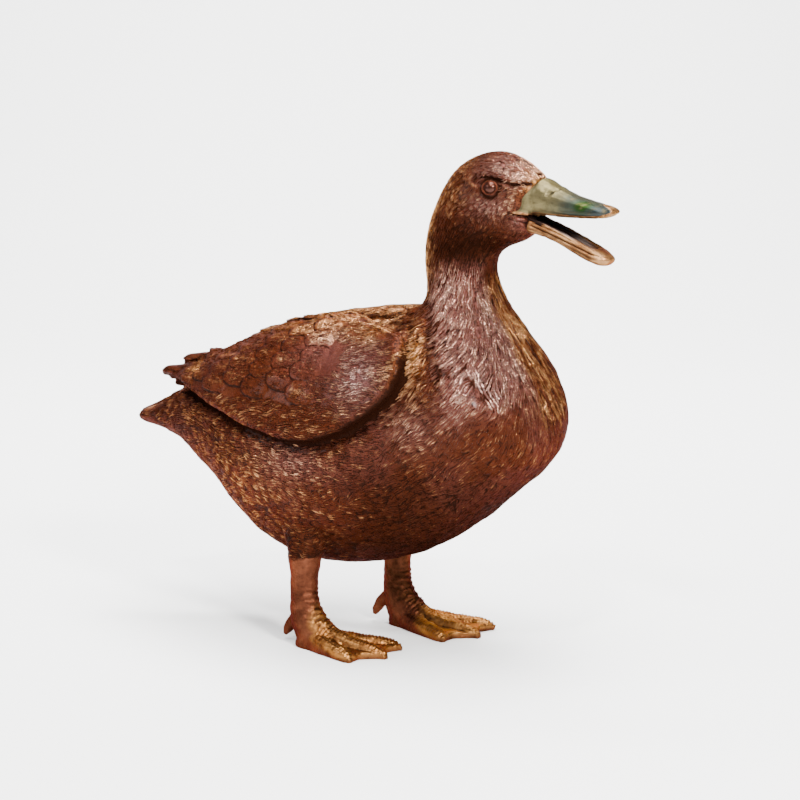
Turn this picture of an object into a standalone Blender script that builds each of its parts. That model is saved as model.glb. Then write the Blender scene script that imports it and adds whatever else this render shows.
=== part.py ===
"""A life-size cast bronze duck, standing with its neck up and its bill open.

Metres, +Z up. The duck faces +X, its right side is -Y, and its soles stand on Z = 0.
Tail, trunk, neck and head are cut from one loft. Each station of a loft is a flat ring, set by a
point (x, z) on the upper or front outline, a point on the under or back outline, and half of the
ring's width. The body's rings swing round the corner of back and neck, and again round the throat.
"""

import math

import bmesh
import bpy
from mathutils import Matrix, Vector

GAP = 0.0003  # clear space between neighbouring pieces
BODY_SIDES = 30  # corners of a body ring
BILL_SIDES = 16
SHANK_SIDES = 16
TOE_SIDES = 12
FORWARD_SHIFT = 0.0140  # brings the middle of the duck's length over the origin

EYE_RADIUS = 0.0052
EYE_SIDES, EYE_RINGS = 14, 9
EYE_CENTRE = (0.1199, 0.0222, 0.3590)

# Where the tail, neck and head are cut from the loft: (upper x, z), (under x, z)
TAIL_CUT = ((-0.1850, 0.1860), (-0.1780, 0.1400))
NECK_CUT = ((0.0540, 0.2780), (0.1360, 0.2400))
HEAD_CUT = ((0.0535, 0.3230), (0.1075, 0.3065))
BILL_CUT = ((0.1530, 0.3675), (0.1425, 0.3230))

BODY = (
    ((-0.2400, 0.1590), (-0.2395, 0.1565), 0.006),
    ((-0.2290, 0.1645), (-0.2260, 0.1535), 0.018),
    ((-0.2120, 0.1725), (-0.2050, 0.1505), 0.027),
    ((-0.1900, 0.1830), (-0.1780, 0.1430), 0.036),
    ((-0.1650, 0.1960), (-0.1540, 0.1300), 0.047),
    ((-0.1300, 0.2145), (-0.1270, 0.1075), 0.060),
    ((-0.0920, 0.2355), (-0.0940, 0.0775), 0.072),
    ((-0.0520, 0.2535), (-0.0575, 0.0605), 0.081),
    ((-0.0120, 0.2610), (-0.0100, 0.0600), 0.086),
    ((0.0220, 0.2655), (0.0380, 0.0712), 0.088),
    ((0.0420, 0.2670), (0.0820, 0.0945), 0.086),
    ((0.0500, 0.2680), (0.1210, 0.1245), 0.082),
    ((0.0540, 0.2695), (0.1545, 0.1550), 0.076),
    ((0.0565, 0.2715), (0.1600, 0.1885), 0.0655),
    ((0.0580, 0.2750), (0.1425, 0.2235), 0.0500),
    ((0.0580, 0.2810), (0.1265, 0.2490), 0.040),
    ((0.0560, 0.2890), (0.1145, 0.2700), 0.033),
    ((0.0530, 0.3000), (0.1070, 0.2880), 0.028),
    ((0.0525, 0.3140), (0.1070, 0.3020), 0.0265),
    ((0.0550, 0.3300), (0.1110, 0.3085), 0.0265),
    ((0.0613, 0.3460), (0.1190, 0.3140), 0.0270),
    ((0.0690, 0.3605), (0.1270, 0.3165), 0.0275),
    ((0.0803, 0.3740), (0.1320, 0.3180), 0.0275),
    ((0.0985, 0.3832), (0.1360, 0.3195), 0.0265),
    ((0.1180, 0.3855), (0.1390, 0.3210), 0.0240),
    ((0.1370, 0.3785), (0.1410, 0.3220), 0.0195),
    ((0.1530, 0.3675), (0.1425, 0.3230), 0.0150),
)
UPPER_BILL = (
    ((0.1530, 0.3675), (0.1463, 0.3380), 0.0148),
    ((0.1660, 0.3600), (0.1620, 0.3372), 0.0136),
    ((0.1800, 0.3542), (0.1780, 0.3368), 0.0132),
    ((0.1930, 0.3505), (0.1930, 0.3370), 0.0142),
    ((0.2030, 0.3480), (0.2030, 0.3380), 0.0140),
    ((0.2090, 0.3460), (0.2090, 0.3405), 0.0100),
    ((0.2120, 0.3445), (0.2120, 0.3425), 0.0045),
)
LOWER_BILL = (
    ((0.1458, 0.3385), (0.1428, 0.3255), 0.0125),
    ((0.1590, 0.3355), (0.1560, 0.3225), 0.0118),
    ((0.1740, 0.3295), (0.1710, 0.3165), 0.0115),
    ((0.1890, 0.3225), (0.1860, 0.3092), 0.0120),
    ((0.2000, 0.3170), (0.1980, 0.3047), 0.0115),
    ((0.2070, 0.3125), (0.2060, 0.3042), 0.0080),
    ((0.2100, 0.3100), (0.2100, 0.3080), 0.0035),
)
BILL_WALL = 0.0024
# The hollow of each half of the bill: how far it is moved towards the mouth, and its share of the width
PALATE = (-0.0060, 0.68)
TROUGH = (0.0035, 0.92)

# The mass from which both folded wings are cut
WING_MASS = (
    ((-0.2000, 0.2000), (-0.2000, 0.1935), 0.012),
    ((-0.1830, 0.2060), (-0.1800, 0.1840), 0.030),
    ((-0.1560, 0.2130), (-0.1500, 0.1680), 0.050),
    ((-0.1250, 0.2250), (-0.1200, 0.1480), 0.067),
    ((-0.0900, 0.2410), (-0.0850, 0.1200), 0.080),
    ((-0.0500, 0.2560), (-0.0500, 0.0900), 0.0890),
    ((-0.0100, 0.2640), (-0.0100, 0.0580), 0.0950),
    ((0.0250, 0.2675), (0.0380, 0.0680), 0.0970),
    ((0.0470, 0.2690), (0.0820, 0.0960), 0.0950),
    ((0.0550, 0.2700), (0.1220, 0.1280), 0.0900),
    ((0.0570, 0.2720), (0.1540, 0.1620), 0.0830),
)
# The folded wing's outline from the side (x, z), from the shoulder down and round
WING_OUTLINE = (
    (0.046, 0.264), (0.067, 0.249), (0.078, 0.231), (0.075, 0.212), (0.059, 0.195), (0.033, 0.179),
    (0.003, 0.169), (-0.024, 0.168), (-0.062, 0.174), (-0.112, 0.187), (-0.165, 0.197),
    (-0.215, 0.190), (-0.215, 0.215), (-0.120, 0.265), (-0.040, 0.290), (0.020, 0.285),
)
WING_MEETING_FRONT = (0.020, 0.044)  # the line that both wings keep off, from the shoulders ...
WING_MEETING_REAR = (-0.130, 0.002)  # ... to where they come together over the rump
# Flight feather tips: distance out from the middle, height, end, half width
FLIGHT_TIPS = (
    (0.007, 0.2065, -0.186, 0.0050),
    (0.016, 0.1985, -0.202, 0.0055),
    (0.026, 0.1925, -0.180, 0.0055),
)
# One tip's rings: distance ahead of its end, rise, and share of its half width
FLIGHT_TIP_RINGS = (
    (0.060, 0.010, 1.00),
    (0.030, 0.005, 1.00),
    (0.010, 0.001, 0.95),
    (0.003, 0.000, 0.75),
    (0.000, 0.000, 0.30),
)
FLIGHT_TIP_FLATNESS = 0.8

# Shank and middle toe in the foot's own axes: ankle over the origin, toes along +X
SHANK = (
    ((0.0200, 0.1080), (-0.0180, 0.1080), 0.0100),
    ((0.0180, 0.0860), (-0.0165, 0.0860), 0.0138),
    ((0.0125, 0.0660), (-0.0130, 0.0660), 0.0120),
    ((0.0100, 0.0540), (-0.0120, 0.0540), 0.0108),
    ((0.0100, 0.0420), (-0.0122, 0.0410), 0.0106),
    ((0.0120, 0.0325), (-0.0130, 0.0290), 0.0112),
    ((0.0170, 0.0245), (-0.0105, 0.0150), 0.0122),
    ((0.0255, 0.0185), (-0.0050, 0.0010), 0.0125),
    ((0.0360, 0.0145), (0.0120, -0.0040), 0.0105),
    ((0.0490, 0.0120), (0.0360, -0.0040), 0.0080),
    ((0.0620, 0.0105), (0.0560, -0.0040), 0.0062),
    ((0.0730, 0.0080), (0.0710, -0.0040), 0.0050),
    ((0.0800, 0.0035), (0.0795, -0.0030), 0.0025),
)
SIDE_TOE = (
    ((0.0050, 0.0185), (0.0050, -0.0040), 0.0080),
    ((0.0200, 0.0140), (0.0200, -0.0040), 0.0085),
    ((0.0350, 0.0120), (0.0350, -0.0040), 0.0078),
    ((0.0480, 0.0105), (0.0470, -0.0040), 0.0066),
    ((0.0620, 0.0095), (0.0610, -0.0040), 0.0056),
    ((0.0700, 0.0075), (0.0690, -0.0040), 0.0045),
    ((0.0760, 0.0035), (0.0755, -0.0030), 0.0022),
)
HIND_TOE = (
    ((-0.0020, 0.0330), (0.0020, 0.0170), 0.0070),
    ((-0.0110, 0.0280), (-0.0085, 0.0150), 0.0060),
    ((-0.0185, 0.0200), (-0.0140, 0.0110), 0.0048),
    ((-0.0235, 0.0115), (-0.0170, 0.0075), 0.0038),
    ((-0.0240, 0.0055), (-0.0205, 0.0040), 0.0016),
)
TOE_SPREAD = math.radians(22.5)
WEB_THICKNESS = 0.0050
HIND_TOE_INWARDS = 0.003
FOOT_CUT = 0.034  # height of the cut between leg and foot
TOES_START = 0.040  # the shank's stations ahead of this are the middle toe's
GROUND_BLOCK = 0.30  # side of the block of space above the ground
# Side, ankle place (x, y), turn, and the size of the outer, middle and inner toe of each foot,
# which the sculptor modelled unlike
FEET = {
    "right": (-1, (-0.0280, -0.0545), math.radians(0), (0.88, 0.97, 1.02)),
    "left": (1, (-0.0095, 0.0465), math.radians(-4), (1.06, 1.03, 0.97)),
}


def bronze(name, colour, roughness):
    """A patinated bronze finish."""
    material = bpy.data.materials.new(name)
    material.use_nodes = True
    shader = material.node_tree.nodes["Principled BSDF"]
    shader.inputs["Base Color"].default_value = (*colour, 1.0)
    shader.inputs["Metallic"].default_value = 0.8
    shader.inputs["Roughness"].default_value = roughness
    material.diffuse_color = (*colour, 1.0)
    return material


def catmull_rom(a, b, c, d, share):
    """The point at that share of the way from b to c on a smooth curve through all four."""
    return 0.5 * (
        2 * b + (c - a) * share + (2 * a - 5 * b + 4 * c - d) * share**2
        + (3 * b - a - 3 * c + d) * share**3
    )


def smooth_stations(stations, per_stretch):
    """The stations with others between them, on smooth curves through the given ones."""
    rows = [(*upper, *under, half) for upper, under, half in stations]
    last = len(rows) - 1
    found = []
    for step in range(last * per_stretch + 1):
        first = min(step // per_stretch, last - 1)
        share = step / per_stretch - first
        near = [rows[min(max(first + offset, 0), last)] for offset in (-1, 0, 1, 2)]
        row = [catmull_rom(*values, share) for values in zip(*near)]
        found.append(((row[0], row[1]), (row[2], row[3]), row[4]))
    return found


def ring(station, sides, squareness=1.0):
    """The corners of a station's ring, from the upper outline round by +Y; below 1 it is boxier."""
    upper, under, half = station
    middle = Vector((upper[0] + under[0], 0, upper[1] + under[1])) / 2
    reach = Vector((upper[0] - under[0], 0, upper[1] - under[1])) / 2
    corners = []
    for corner in range(sides):
        turn = math.tau * corner / sides
        up = math.copysign(abs(math.cos(turn)) ** squareness, math.cos(turn))
        out = math.copysign(abs(math.sin(turn)) ** squareness, math.sin(turn))
        corners.append(middle + reach * up + Vector((0, half * out, 0)))
    return corners


def loft(rings):
    """A closed bmesh through the rings, made by extruding one ring from place to place."""
    shape = bmesh.new()
    number = shape.verts.layers.int.new("corner")
    made = bmesh.ops.create_circle(shape, cap_ends=True, segments=len(rings[0]), radius=1.0)
    for corner, vert in enumerate(made["verts"]):
        vert[number] = corner
        vert.co = rings[0][corner]
    front = shape.edges[:]
    for corners in rings[1:]:
        grown = bmesh.ops.extrude_edge_only(shape, edges=front)["geom"]
        verts = {item for item in grown if isinstance(item, bmesh.types.BMVert)}
        for vert in verts:
            vert.co = corners[vert[number]]
        edges = [item for item in grown if isinstance(item, bmesh.types.BMEdge)]
        front = [edge for edge in edges if set(edge.verts) <= verts]
    bmesh.ops.contextual_create(shape, geom=front)
    bmesh.ops.recalc_face_normals(shape, faces=shape.faces)
    return shape


def smooth_loft(stations, per_stretch, sides, squareness=1.0):
    return loft([ring(station, sides, squareness) for station in smooth_stations(stations, per_stretch)])


def grown(stations, margin):
    """The same stations, larger by the margin all round."""
    found = []
    for upper, under, half in stations:
        reach = (Vector(upper) - Vector(under)).normalized() * margin
        found.append((tuple(Vector(upper) + reach), tuple(Vector(under) - reach), half + margin))
    return found


def keep_side(shape, point, normal):
    """Cuts the bmesh with a plane, keeps the part that the normal points to, and closes the cut."""
    whole = shape.verts[:] + shape.edges[:] + shape.faces[:]
    cut = bmesh.ops.bisect_plane(shape, geom=whole, plane_co=point, plane_no=normal, clear_inner=True)
    rim = [item for item in cut["geom_cut"] if isinstance(item, bmesh.types.BMEdge)]
    bmesh.ops.contextual_create(shape, geom=rim)
    bmesh.ops.recalc_face_normals(shape, faces=shape.faces)


def keep_along_body(shape, cut, headward):
    """Keeps the part of the body on the head's side of a cut, or on the tail's side."""
    upper, under = (Vector((x, 0, z)) for x, z in cut)
    normal = Vector((0, 1, 0)).cross(upper - under).normalized()
    if not headward:
        normal = -normal
    keep_side(shape, upper + normal * GAP / 2, normal)


def add(name, shape, material):
    """The bmesh as a named object."""
    mesh = bpy.data.meshes.new(name)
    shape.to_mesh(mesh)
    shape.free()
    mesh.shade_smooth()
    mesh.materials.append(material)
    piece = bpy.data.objects.new(name, mesh)
    bpy.context.scene.collection.objects.link(piece)
    return piece


def add_guide(name, shape):
    """A cutter or a guide, which isn't a part of the duck."""
    piece = add(name, shape, bpy.data.materials["guide"])
    piece.hide_render = True
    piece.display_type = "WIRE"
    return piece


def boolean(piece, operation, other):
    step = piece.modifiers.new(f"{operation.lower()} {other.name}", "BOOLEAN")
    step.operation = operation
    step.solver = "EXACT"
    step.object = other


def settled(piece):
    """A bmesh of the piece as its modifiers leave it. The piece itself is removed."""
    bpy.context.view_layer.update()
    mesh = piece.evaluated_get(bpy.context.evaluated_depsgraph_get()).to_mesh()
    shape = bmesh.new()
    shape.from_mesh(mesh)
    bpy.data.objects.remove(piece)
    return shape


def prism(outline, low, high, axis):
    """A smooth closed outline extruded along Y or Z."""
    per_stretch = 3
    points = []
    for first in range(len(outline)):
        near = [Vector(outline[(first + offset) % len(outline)]) for offset in (-1, 0, 1, 2)]
        points += [catmull_rom(*near, step / per_stretch) for step in range(per_stretch)]
    if axis == "Y":
        return loft([[Vector((p.x, level, p.y)) for p in points] for level in (low, high)])
    return loft([[Vector((p.x, p.y, level)) for p in points] for level in (low, high)])


def make_body(material):
    """Tail, trunk, neck and head, cut from one loft, and a guide that keeps other pieces clear of it."""
    spans = {
        "tail": (None, TAIL_CUT),
        "trunk": (TAIL_CUT, NECK_CUT),
        "neck": (NECK_CUT, HEAD_CUT),
        "head": (HEAD_CUT, BILL_CUT),
    }
    pieces = {}
    for name, (start, end) in spans.items():
        shape = smooth_loft(BODY, 2, BODY_SIDES)
        if start:
            keep_along_body(shape, start, headward=True)
        if end:
            keep_along_body(shape, end, headward=False)
        pieces[name] = add(name, shape, material)
    pieces["room"] = add_guide("body_room", smooth_loft(grown(BODY, GAP), 2, BODY_SIDES))
    return pieces


def flight_tip(side, tip):
    """One blunt, flattened end of a flight feather, running back from inside the wing."""
    out, height, end, half = tip
    stations = []
    for ahead, rise, share in FLIGHT_TIP_RINGS:
        middle = height + rise
        thick = half * share * FLIGHT_TIP_FLATNESS
        stations.append(((end + ahead, middle + thick), (end + ahead, middle - thick), half * share))
    shape = smooth_loft(stations, 1, TOE_SIDES)
    bmesh.ops.translate(shape, verts=shape.verts, vec=(0, side * out, 0))
    return shape


def make_wing(side, room, material):
    """One folded wing: the wing mass inside the outline, on its side of the back, clear of the body."""
    name = "wing_left" if side > 0 else "wing_right"
    wing = add(name + "_mass", smooth_loft(WING_MASS, 2, BODY_SIDES), material)
    boolean(wing, "INTERSECT", bpy.data.objects["wing_outline"])
    shape = settled(wing)
    front = Vector((WING_MEETING_FRONT[0], side * WING_MEETING_FRONT[1], 0))
    rear = Vector((WING_MEETING_REAR[0], side * WING_MEETING_REAR[1], 0))
    outwards = (front - rear).cross(Vector((0, 0, -side))).normalized()
    keep_side(shape, front, outwards)
    keep_side(shape, Vector((0, side * GAP / 2, 0)), Vector((0, side, 0)))
    wing = add(name, shape, material)
    for number, tip in enumerate(FLIGHT_TIPS):
        boolean(wing, "UNION", add_guide(f"{name}_tip_{number}", flight_tip(side, tip)))
    boolean(wing, "DIFFERENCE", room)
    return wing


def make_eye(side, head, material):
    """An eyeball in a socket in the side of the head."""
    name = "eye_left" if side > 0 else "eye_right"
    centre = (EYE_CENTRE[0], side * EYE_CENTRE[1], EYE_CENTRE[2])
    for radius in (EYE_RADIUS, EYE_RADIUS + GAP):
        shape = bmesh.new()
        bmesh.ops.create_uvsphere(shape, u_segments=EYE_SIDES, v_segments=EYE_RINGS, radius=radius)
        bmesh.ops.translate(shape, verts=shape.verts, vec=centre)
        if radius == EYE_RADIUS:
            add(name, shape, material)
        else:
            boolean(head, "DIFFERENCE", add_guide(name + "_socket", shape))


def make_bill(name, stations, hollowing, material):
    """One half of the bill, hollowed on its mouth side."""
    shape = smooth_loft(stations, 2, BILL_SIDES, 0.85)
    keep_along_body(shape, BILL_CUT, headward=True)
    bill = add(name, shape, material)
    shift, width = hollowing
    hollow = smooth_loft(grown(stations[:-2], -BILL_WALL), 2, BILL_SIDES, 0.85)
    bmesh.ops.scale(hollow, verts=hollow.verts, vec=(1, width, 1))
    bmesh.ops.translate(hollow, verts=hollow.verts, vec=(0, 0, shift))
    boolean(bill, "DIFFERENCE", add_guide(name + "_hollow", hollow))


def side_toe(side, size):
    shape = smooth_loft(SIDE_TOE, 1, TOE_SIDES)
    bmesh.ops.scale(shape, verts=shape.verts, vec=(size, 1, 1))
    bmesh.ops.rotate(shape, verts=shape.verts, matrix=Matrix.Rotation(side * TOE_SPREAD, 3, "Z"))
    return shape


def web_outline(side, sizes):
    """The web from above: heel, one toe, a scallop, the middle toe, a scallop and the other toe."""
    outer, middle, inner = sizes
    middle_tip = SHANK[-1][0][0] * middle
    edges = []
    for turn, size in ((side, outer), (-side, inner)):
        tip = SIDE_TOE[-1][0][0] * size
        tip_x, tip_y = tip * math.cos(TOE_SPREAD), turn * tip * math.sin(TOE_SPREAD)
        edges.append([
            (-0.004, turn * 0.008),
            (0.020, turn * 0.015),
            (tip_x - 0.012, tip_y - turn * 0.001),
            (tip_x - 0.001, tip_y - turn * 0.003),
            ((tip_x + middle_tip) / 2 - 0.008, tip_y / 2),
            (middle_tip - 0.003, turn * 0.0015),
        ])
    outline = edges[0] + edges[1][::-1]
    return outline if side < 0 else outline[::-1]


def make_leg(name, room, material, foot_material):
    """One leg and its webbed foot, made whole, trimmed under the belly and cut at the ankle."""
    side, ankle, turn, sizes = FEET[name]
    outer, middle, inner = sizes
    shank = []
    for upper, under, half in SHANK:
        size = middle if upper[0] > TOES_START else 1
        shank.append(((upper[0] * size, upper[1]), (under[0] * size, under[1]), half))
    hind = smooth_loft(HIND_TOE, 1, TOE_SIDES)
    bmesh.ops.translate(hind, verts=hind.verts, vec=(0, -side * HIND_TOE_INWARDS, 0))
    above_ground = bmesh.new()
    bmesh.ops.create_cube(above_ground, size=GROUND_BLOCK)
    bmesh.ops.translate(above_ground, verts=above_ground.verts, vec=(0, 0, GROUND_BLOCK / 2))
    limbs = (
        ("shank", smooth_loft(shank, 1, SHANK_SIDES)),
        ("outer_toe", side_toe(side, outer)),
        ("inner_toe", side_toe(-side, inner)),
        ("web", prism(web_outline(side, sizes), -WEB_THICKNESS, WEB_THICKNESS, "Z")),
        ("hind_toe", hind),
        ("ground", above_ground),
    )
    place = Matrix.Translation((*ankle, 0)) @ Matrix.Rotation(turn, 4, "Z")
    whole = None
    for limb, shape in limbs:
        bmesh.ops.transform(shape, matrix=place, verts=shape.verts)
        if whole is None:
            whole = add("whole_leg_" + name, shape, material)
        else:
            guide = add_guide(f"{limb}_{name}", shape)
            boolean(whole, "INTERSECT" if limb == "ground" else "UNION", guide)
    boolean(whole, "DIFFERENCE", room)
    shape = settled(whole)
    for piece_name, up, finish in (("leg_" + name, 1, material), ("foot_" + name, -1, foot_material)):
        part = shape.copy()
        keep_side(part, Vector((0, 0, FOOT_CUT + up * GAP / 2)), Vector((0, 0, up)))
        add(piece_name, part, finish)
    shape.free()


def main():
    for old in list(bpy.data.objects):
        bpy.data.objects.remove(old)
    bpy.data.materials.new("guide")
    brown = bronze("brown_patina", (0.20, 0.07, 0.04), 0.38)
    gold = bronze("golden_bronze", (0.55, 0.28, 0.10), 0.30)
    green = bronze("verdigris", (0.42, 0.44, 0.33), 0.30)

    body = make_body(brown)
    add_guide("wing_outline", prism(WING_OUTLINE, -0.2, 0.2, "Y"))
    for side in (-1, 1):
        make_wing(side, body["room"], brown)
        make_eye(side, body["head"], brown)
    make_bill("bill_upper", UPPER_BILL, PALATE, green)
    make_bill("bill_lower", LOWER_BILL, TROUGH, gold)
    for name in FEET:
        make_leg(name, body["room"], brown, gold)
    for piece in bpy.context.scene.objects:
        piece.location.x = FORWARD_SHIFT


main()
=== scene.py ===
"""The looks of the cast bronze duck: its skin, combed plumage, bill, eyes, feet, finishes and studio."""

import math

import bmesh
import bpy
import numpy as np
from mathutils import Matrix, Vector, noise
from mathutils.bvhtree import BVHTree
from mathutils.kdtree import KDTree


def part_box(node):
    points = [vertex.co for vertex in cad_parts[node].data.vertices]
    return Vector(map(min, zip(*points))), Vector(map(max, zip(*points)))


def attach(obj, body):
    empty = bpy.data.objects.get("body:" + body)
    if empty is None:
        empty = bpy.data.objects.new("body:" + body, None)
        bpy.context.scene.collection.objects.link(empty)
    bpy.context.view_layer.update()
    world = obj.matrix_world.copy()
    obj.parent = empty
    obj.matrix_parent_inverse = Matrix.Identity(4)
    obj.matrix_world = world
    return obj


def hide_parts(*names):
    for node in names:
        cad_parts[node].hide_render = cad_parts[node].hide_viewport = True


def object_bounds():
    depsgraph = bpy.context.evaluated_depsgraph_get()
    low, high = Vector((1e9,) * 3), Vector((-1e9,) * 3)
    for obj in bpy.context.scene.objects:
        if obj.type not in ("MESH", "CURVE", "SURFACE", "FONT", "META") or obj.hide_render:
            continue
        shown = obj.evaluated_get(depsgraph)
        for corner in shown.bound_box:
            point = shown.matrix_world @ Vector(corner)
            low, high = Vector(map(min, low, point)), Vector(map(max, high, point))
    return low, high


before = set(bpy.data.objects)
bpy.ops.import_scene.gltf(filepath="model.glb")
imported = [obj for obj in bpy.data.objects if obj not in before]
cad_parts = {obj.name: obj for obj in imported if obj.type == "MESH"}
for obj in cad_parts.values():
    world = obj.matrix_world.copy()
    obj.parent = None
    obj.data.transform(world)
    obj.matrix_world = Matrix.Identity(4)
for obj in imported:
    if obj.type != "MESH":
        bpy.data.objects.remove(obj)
cad_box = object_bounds()
BOX_LOW = np.array(cad_box[0]) + (0.00005, 0.00005, 0)
BOX_HIGH = np.array(cad_box[1]) - 0.00005
rng = np.random.default_rng(7)

FLESH = ("trunk", "neck", "head", "tail")
SIDES = {"right": -1, "left": 1}
VIEW_TURN = math.radians(35)  # the camera's turn from the duck's right side towards its bill
FORWARD = 0.014  # how far the ring table below is moved forward to lie in the frame

FINEST = 1e-9  # keeps a division by a length from failing
WIDEST_SKIN = 0.0956  # how far the skin reaches to either side
LID_RING = 0.0072  # radius of the groove round the eyelids
BAKE_PATCH = 0.003  # the width of each stroke's or feather's patch in OFBake
BARB_DENSITY = 0.0000240  # vane area for each barb
ROUND_END = 2.6  # how blunt the end of a feather's vane is
BILL_BINS = 30  # slices along the upper bill, to find its lower edge and width
PLUMAGE_END = 0.0725  # height on the shanks at which the skin starts to tuck into the foot piece

# Rings that the plumage is combed across, from the tail's tip to the bill's base: the point (x, z)
# where each crosses the upper or back outline, and where it crosses the under or front outline
COMB_RINGS = (
    ((-0.238, 0.161), (-0.237, 0.155)), ((-0.212, 0.172), (-0.205, 0.150)),
    ((-0.165, 0.196), (-0.154, 0.130)), ((-0.130, 0.214), (-0.127, 0.107)),
    ((-0.092, 0.235), (-0.094, 0.077)), ((-0.052, 0.253), (-0.057, 0.060)),
    ((-0.012, 0.261), (-0.010, 0.060)), ((0.022, 0.265), (0.038, 0.071)),
    ((0.042, 0.267), (0.082, 0.094)), ((0.050, 0.268), (0.121, 0.124)),
    ((0.054, 0.269), (0.154, 0.155)), ((0.056, 0.271), (0.160, 0.188)),
    ((0.058, 0.275), (0.142, 0.223)), ((0.058, 0.281), (0.126, 0.249)),
    ((0.056, 0.289), (0.114, 0.270)), ((0.053, 0.300), (0.107, 0.288)),
    ((0.052, 0.314), (0.107, 0.302)), ((0.055, 0.330), (0.111, 0.308)),
    ((0.061, 0.346), (0.119, 0.314)), ((0.069, 0.360), (0.127, 0.316)),
    ((0.080, 0.374), (0.132, 0.318)), ((0.098, 0.383), (0.136, 0.319)),
    ((0.118, 0.385), (0.139, 0.321)), ((0.137, 0.378), (0.141, 0.322)),
    ((0.153, 0.367), (0.142, 0.323)),
)
# The folded wing from the side (x, z), from the shoulder's top forward, down and back
WING_EDGE = (
    (0.060, 0.262), (0.081, 0.248), (0.092, 0.231), (0.089, 0.212), (0.073, 0.195), (0.047, 0.179),
    (0.017, 0.169), (-0.010, 0.168), (-0.048, 0.174), (-0.098, 0.186), (-0.150, 0.194),
    (-0.190, 0.196), (-0.185, 0.208), (-0.110, 0.226), (-0.060, 0.250), (0.010, 0.264),
)
# The crease (x, z) from behind the eye, over it and forward to the bill
BROW = ((0.120, 0.3656), (0.126, 0.3670), (0.133, 0.3672), (0.143, 0.3634), (0.150, 0.3613), (0.161, 0.3618))
# The slit of the mouth behind the bill's base (x, z)
MOUTH_SLIT = ((0.1455, 0.3404), (0.152, 0.3392), (0.160, 0.3378), (0.168, 0.3370))
# The fine cord along the folded wing's upper and front edge (x, y on either side, z)
CORD = (
    (-0.014, 0.021, 0.2553), (0.003, 0.018, 0.2584), (0.027, 0.030, 0.2561), (0.045, 0.045, 0.2545),
    (0.062, 0.057, 0.2521), (0.077, 0.064, 0.2482), (0.0854, 0.0663, 0.2443),
)
# The fold down either side where the neck and breast stand out before the shoulder (x, y, z)
NECK_FOLD = (
    (0.082, 0.026, 0.284), (0.086, 0.033, 0.273), (0.093, 0.043, 0.263), (0.102, 0.054, 0.250),
    (0.110, 0.065, 0.237), (0.1145, 0.070, 0.227), (0.120, 0.073, 0.218),
)


# ---------- shader maths ----------

class Socket:
    """A number, colour or vector in a material, with operators that add the nodes for them."""

    def __init__(self, maker, link):
        self.maker, self.link = maker, link

    def math(self, operation, *others):
        return self.maker.node("ShaderNodeMath", {"operation": operation}, dict(enumerate((self, *others))))

    def __add__(self, other):
        return self.math("ADD", other)

    def __mul__(self, other):
        return self.math("MULTIPLY", other)

    def __sub__(self, other):
        return self.math("SUBTRACT", other)

    def __rsub__(self, other):
        return self.maker.node("ShaderNodeMath", {"operation": "SUBTRACT"}, {0: other, 1: self})

    __radd__, __rmul__ = __add__, __mul__

    def ramp(self, low, high):
        """0 below low, 1 above high, and smooth between them."""
        values = {"Value": self, "From Min": low, "From Max": high}
        return self.maker.node("ShaderNodeMapRange", {"interpolation_type": "SMOOTHSTEP"}, values)


class Finish:
    """A material being made, as nodes that feed one Principled shader."""

    def __init__(self, name):
        self.material = bpy.data.materials.new(name)
        self.material.use_nodes = True
        self.nodes = self.material.node_tree.nodes
        self.links = self.material.node_tree.links
        self.shader = self.nodes["Principled BSDF"]

    def node(self, kind, settings=None, values=None, output=0):
        node = self.nodes.new(kind)
        for name, value in (settings or {}).items():
            setattr(node, name, value)
        for name, value in (values or {}).items():
            self.feed(node.inputs[name], value)
        return Socket(self, node.outputs[output])

    def feed(self, target, value):
        if isinstance(value, Socket):
            self.links.new(value.link, target)
        else:
            target.default_value = value

    def place(self, stretch=(1, 1, 1)):
        """The point on the object, squeezed by the stretch."""
        point = self.node("ShaderNodeTexCoord", output=3)
        return self.node("ShaderNodeMapping", None, {"Vector": point, "Scale": stretch})

    def attribute(self, name):
        return self.node("ShaderNodeAttribute", {"attribute_name": name}, None, 2)

    def noise(self, vector, scale, detail=3.0, roughness=0.55):
        values = {"Vector": vector, "Scale": scale, "Detail": detail, "Roughness": roughness}
        return self.node("ShaderNodeTexNoise", None, values)

    def mix(self, share, low, high):
        node = self.nodes.new("ShaderNodeMix")
        node.data_type = "RGBA"
        for number, value in ((0, share), (6, low), (7, high)):
            if isinstance(value, tuple):
                value = (*value, 1.0)
            self.feed(node.inputs[number], value)
        return Socket(self, node.outputs[2])

    def bump(self, height, strength, distance):
        values = {"Height": height, "Strength": strength, "Distance": distance}
        return self.node("ShaderNodeBump", None, values)

    def finish(self, **inputs):
        for name, value in inputs.items():
            if isinstance(value, tuple):
                value = (*value, 1.0)
            self.feed(self.shader.inputs[name.replace("_", " ").title()], value)
        return self.material


RED_BROWN = (0.066, 0.0155, 0.0062)
ORANGE_BROWN = (0.135, 0.041, 0.0080)
PLUM_BROWN = (0.082, 0.0225, 0.0155)
MAUVE_SHEEN = (0.148, 0.058, 0.049)
DARK_PATINA_AND_SHADE = (0.016, 0.0046, 0.0021)
BRIGHT_CREST_HIGHLIGHT = (0.72, 0.36, 0.155)
PALE_CREST_HIGHLIGHT = (0.66, 0.43, 0.355)
GOLD_TONE_AND_HIGHLIGHT = (0.46, 0.215, 0.062)


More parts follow.
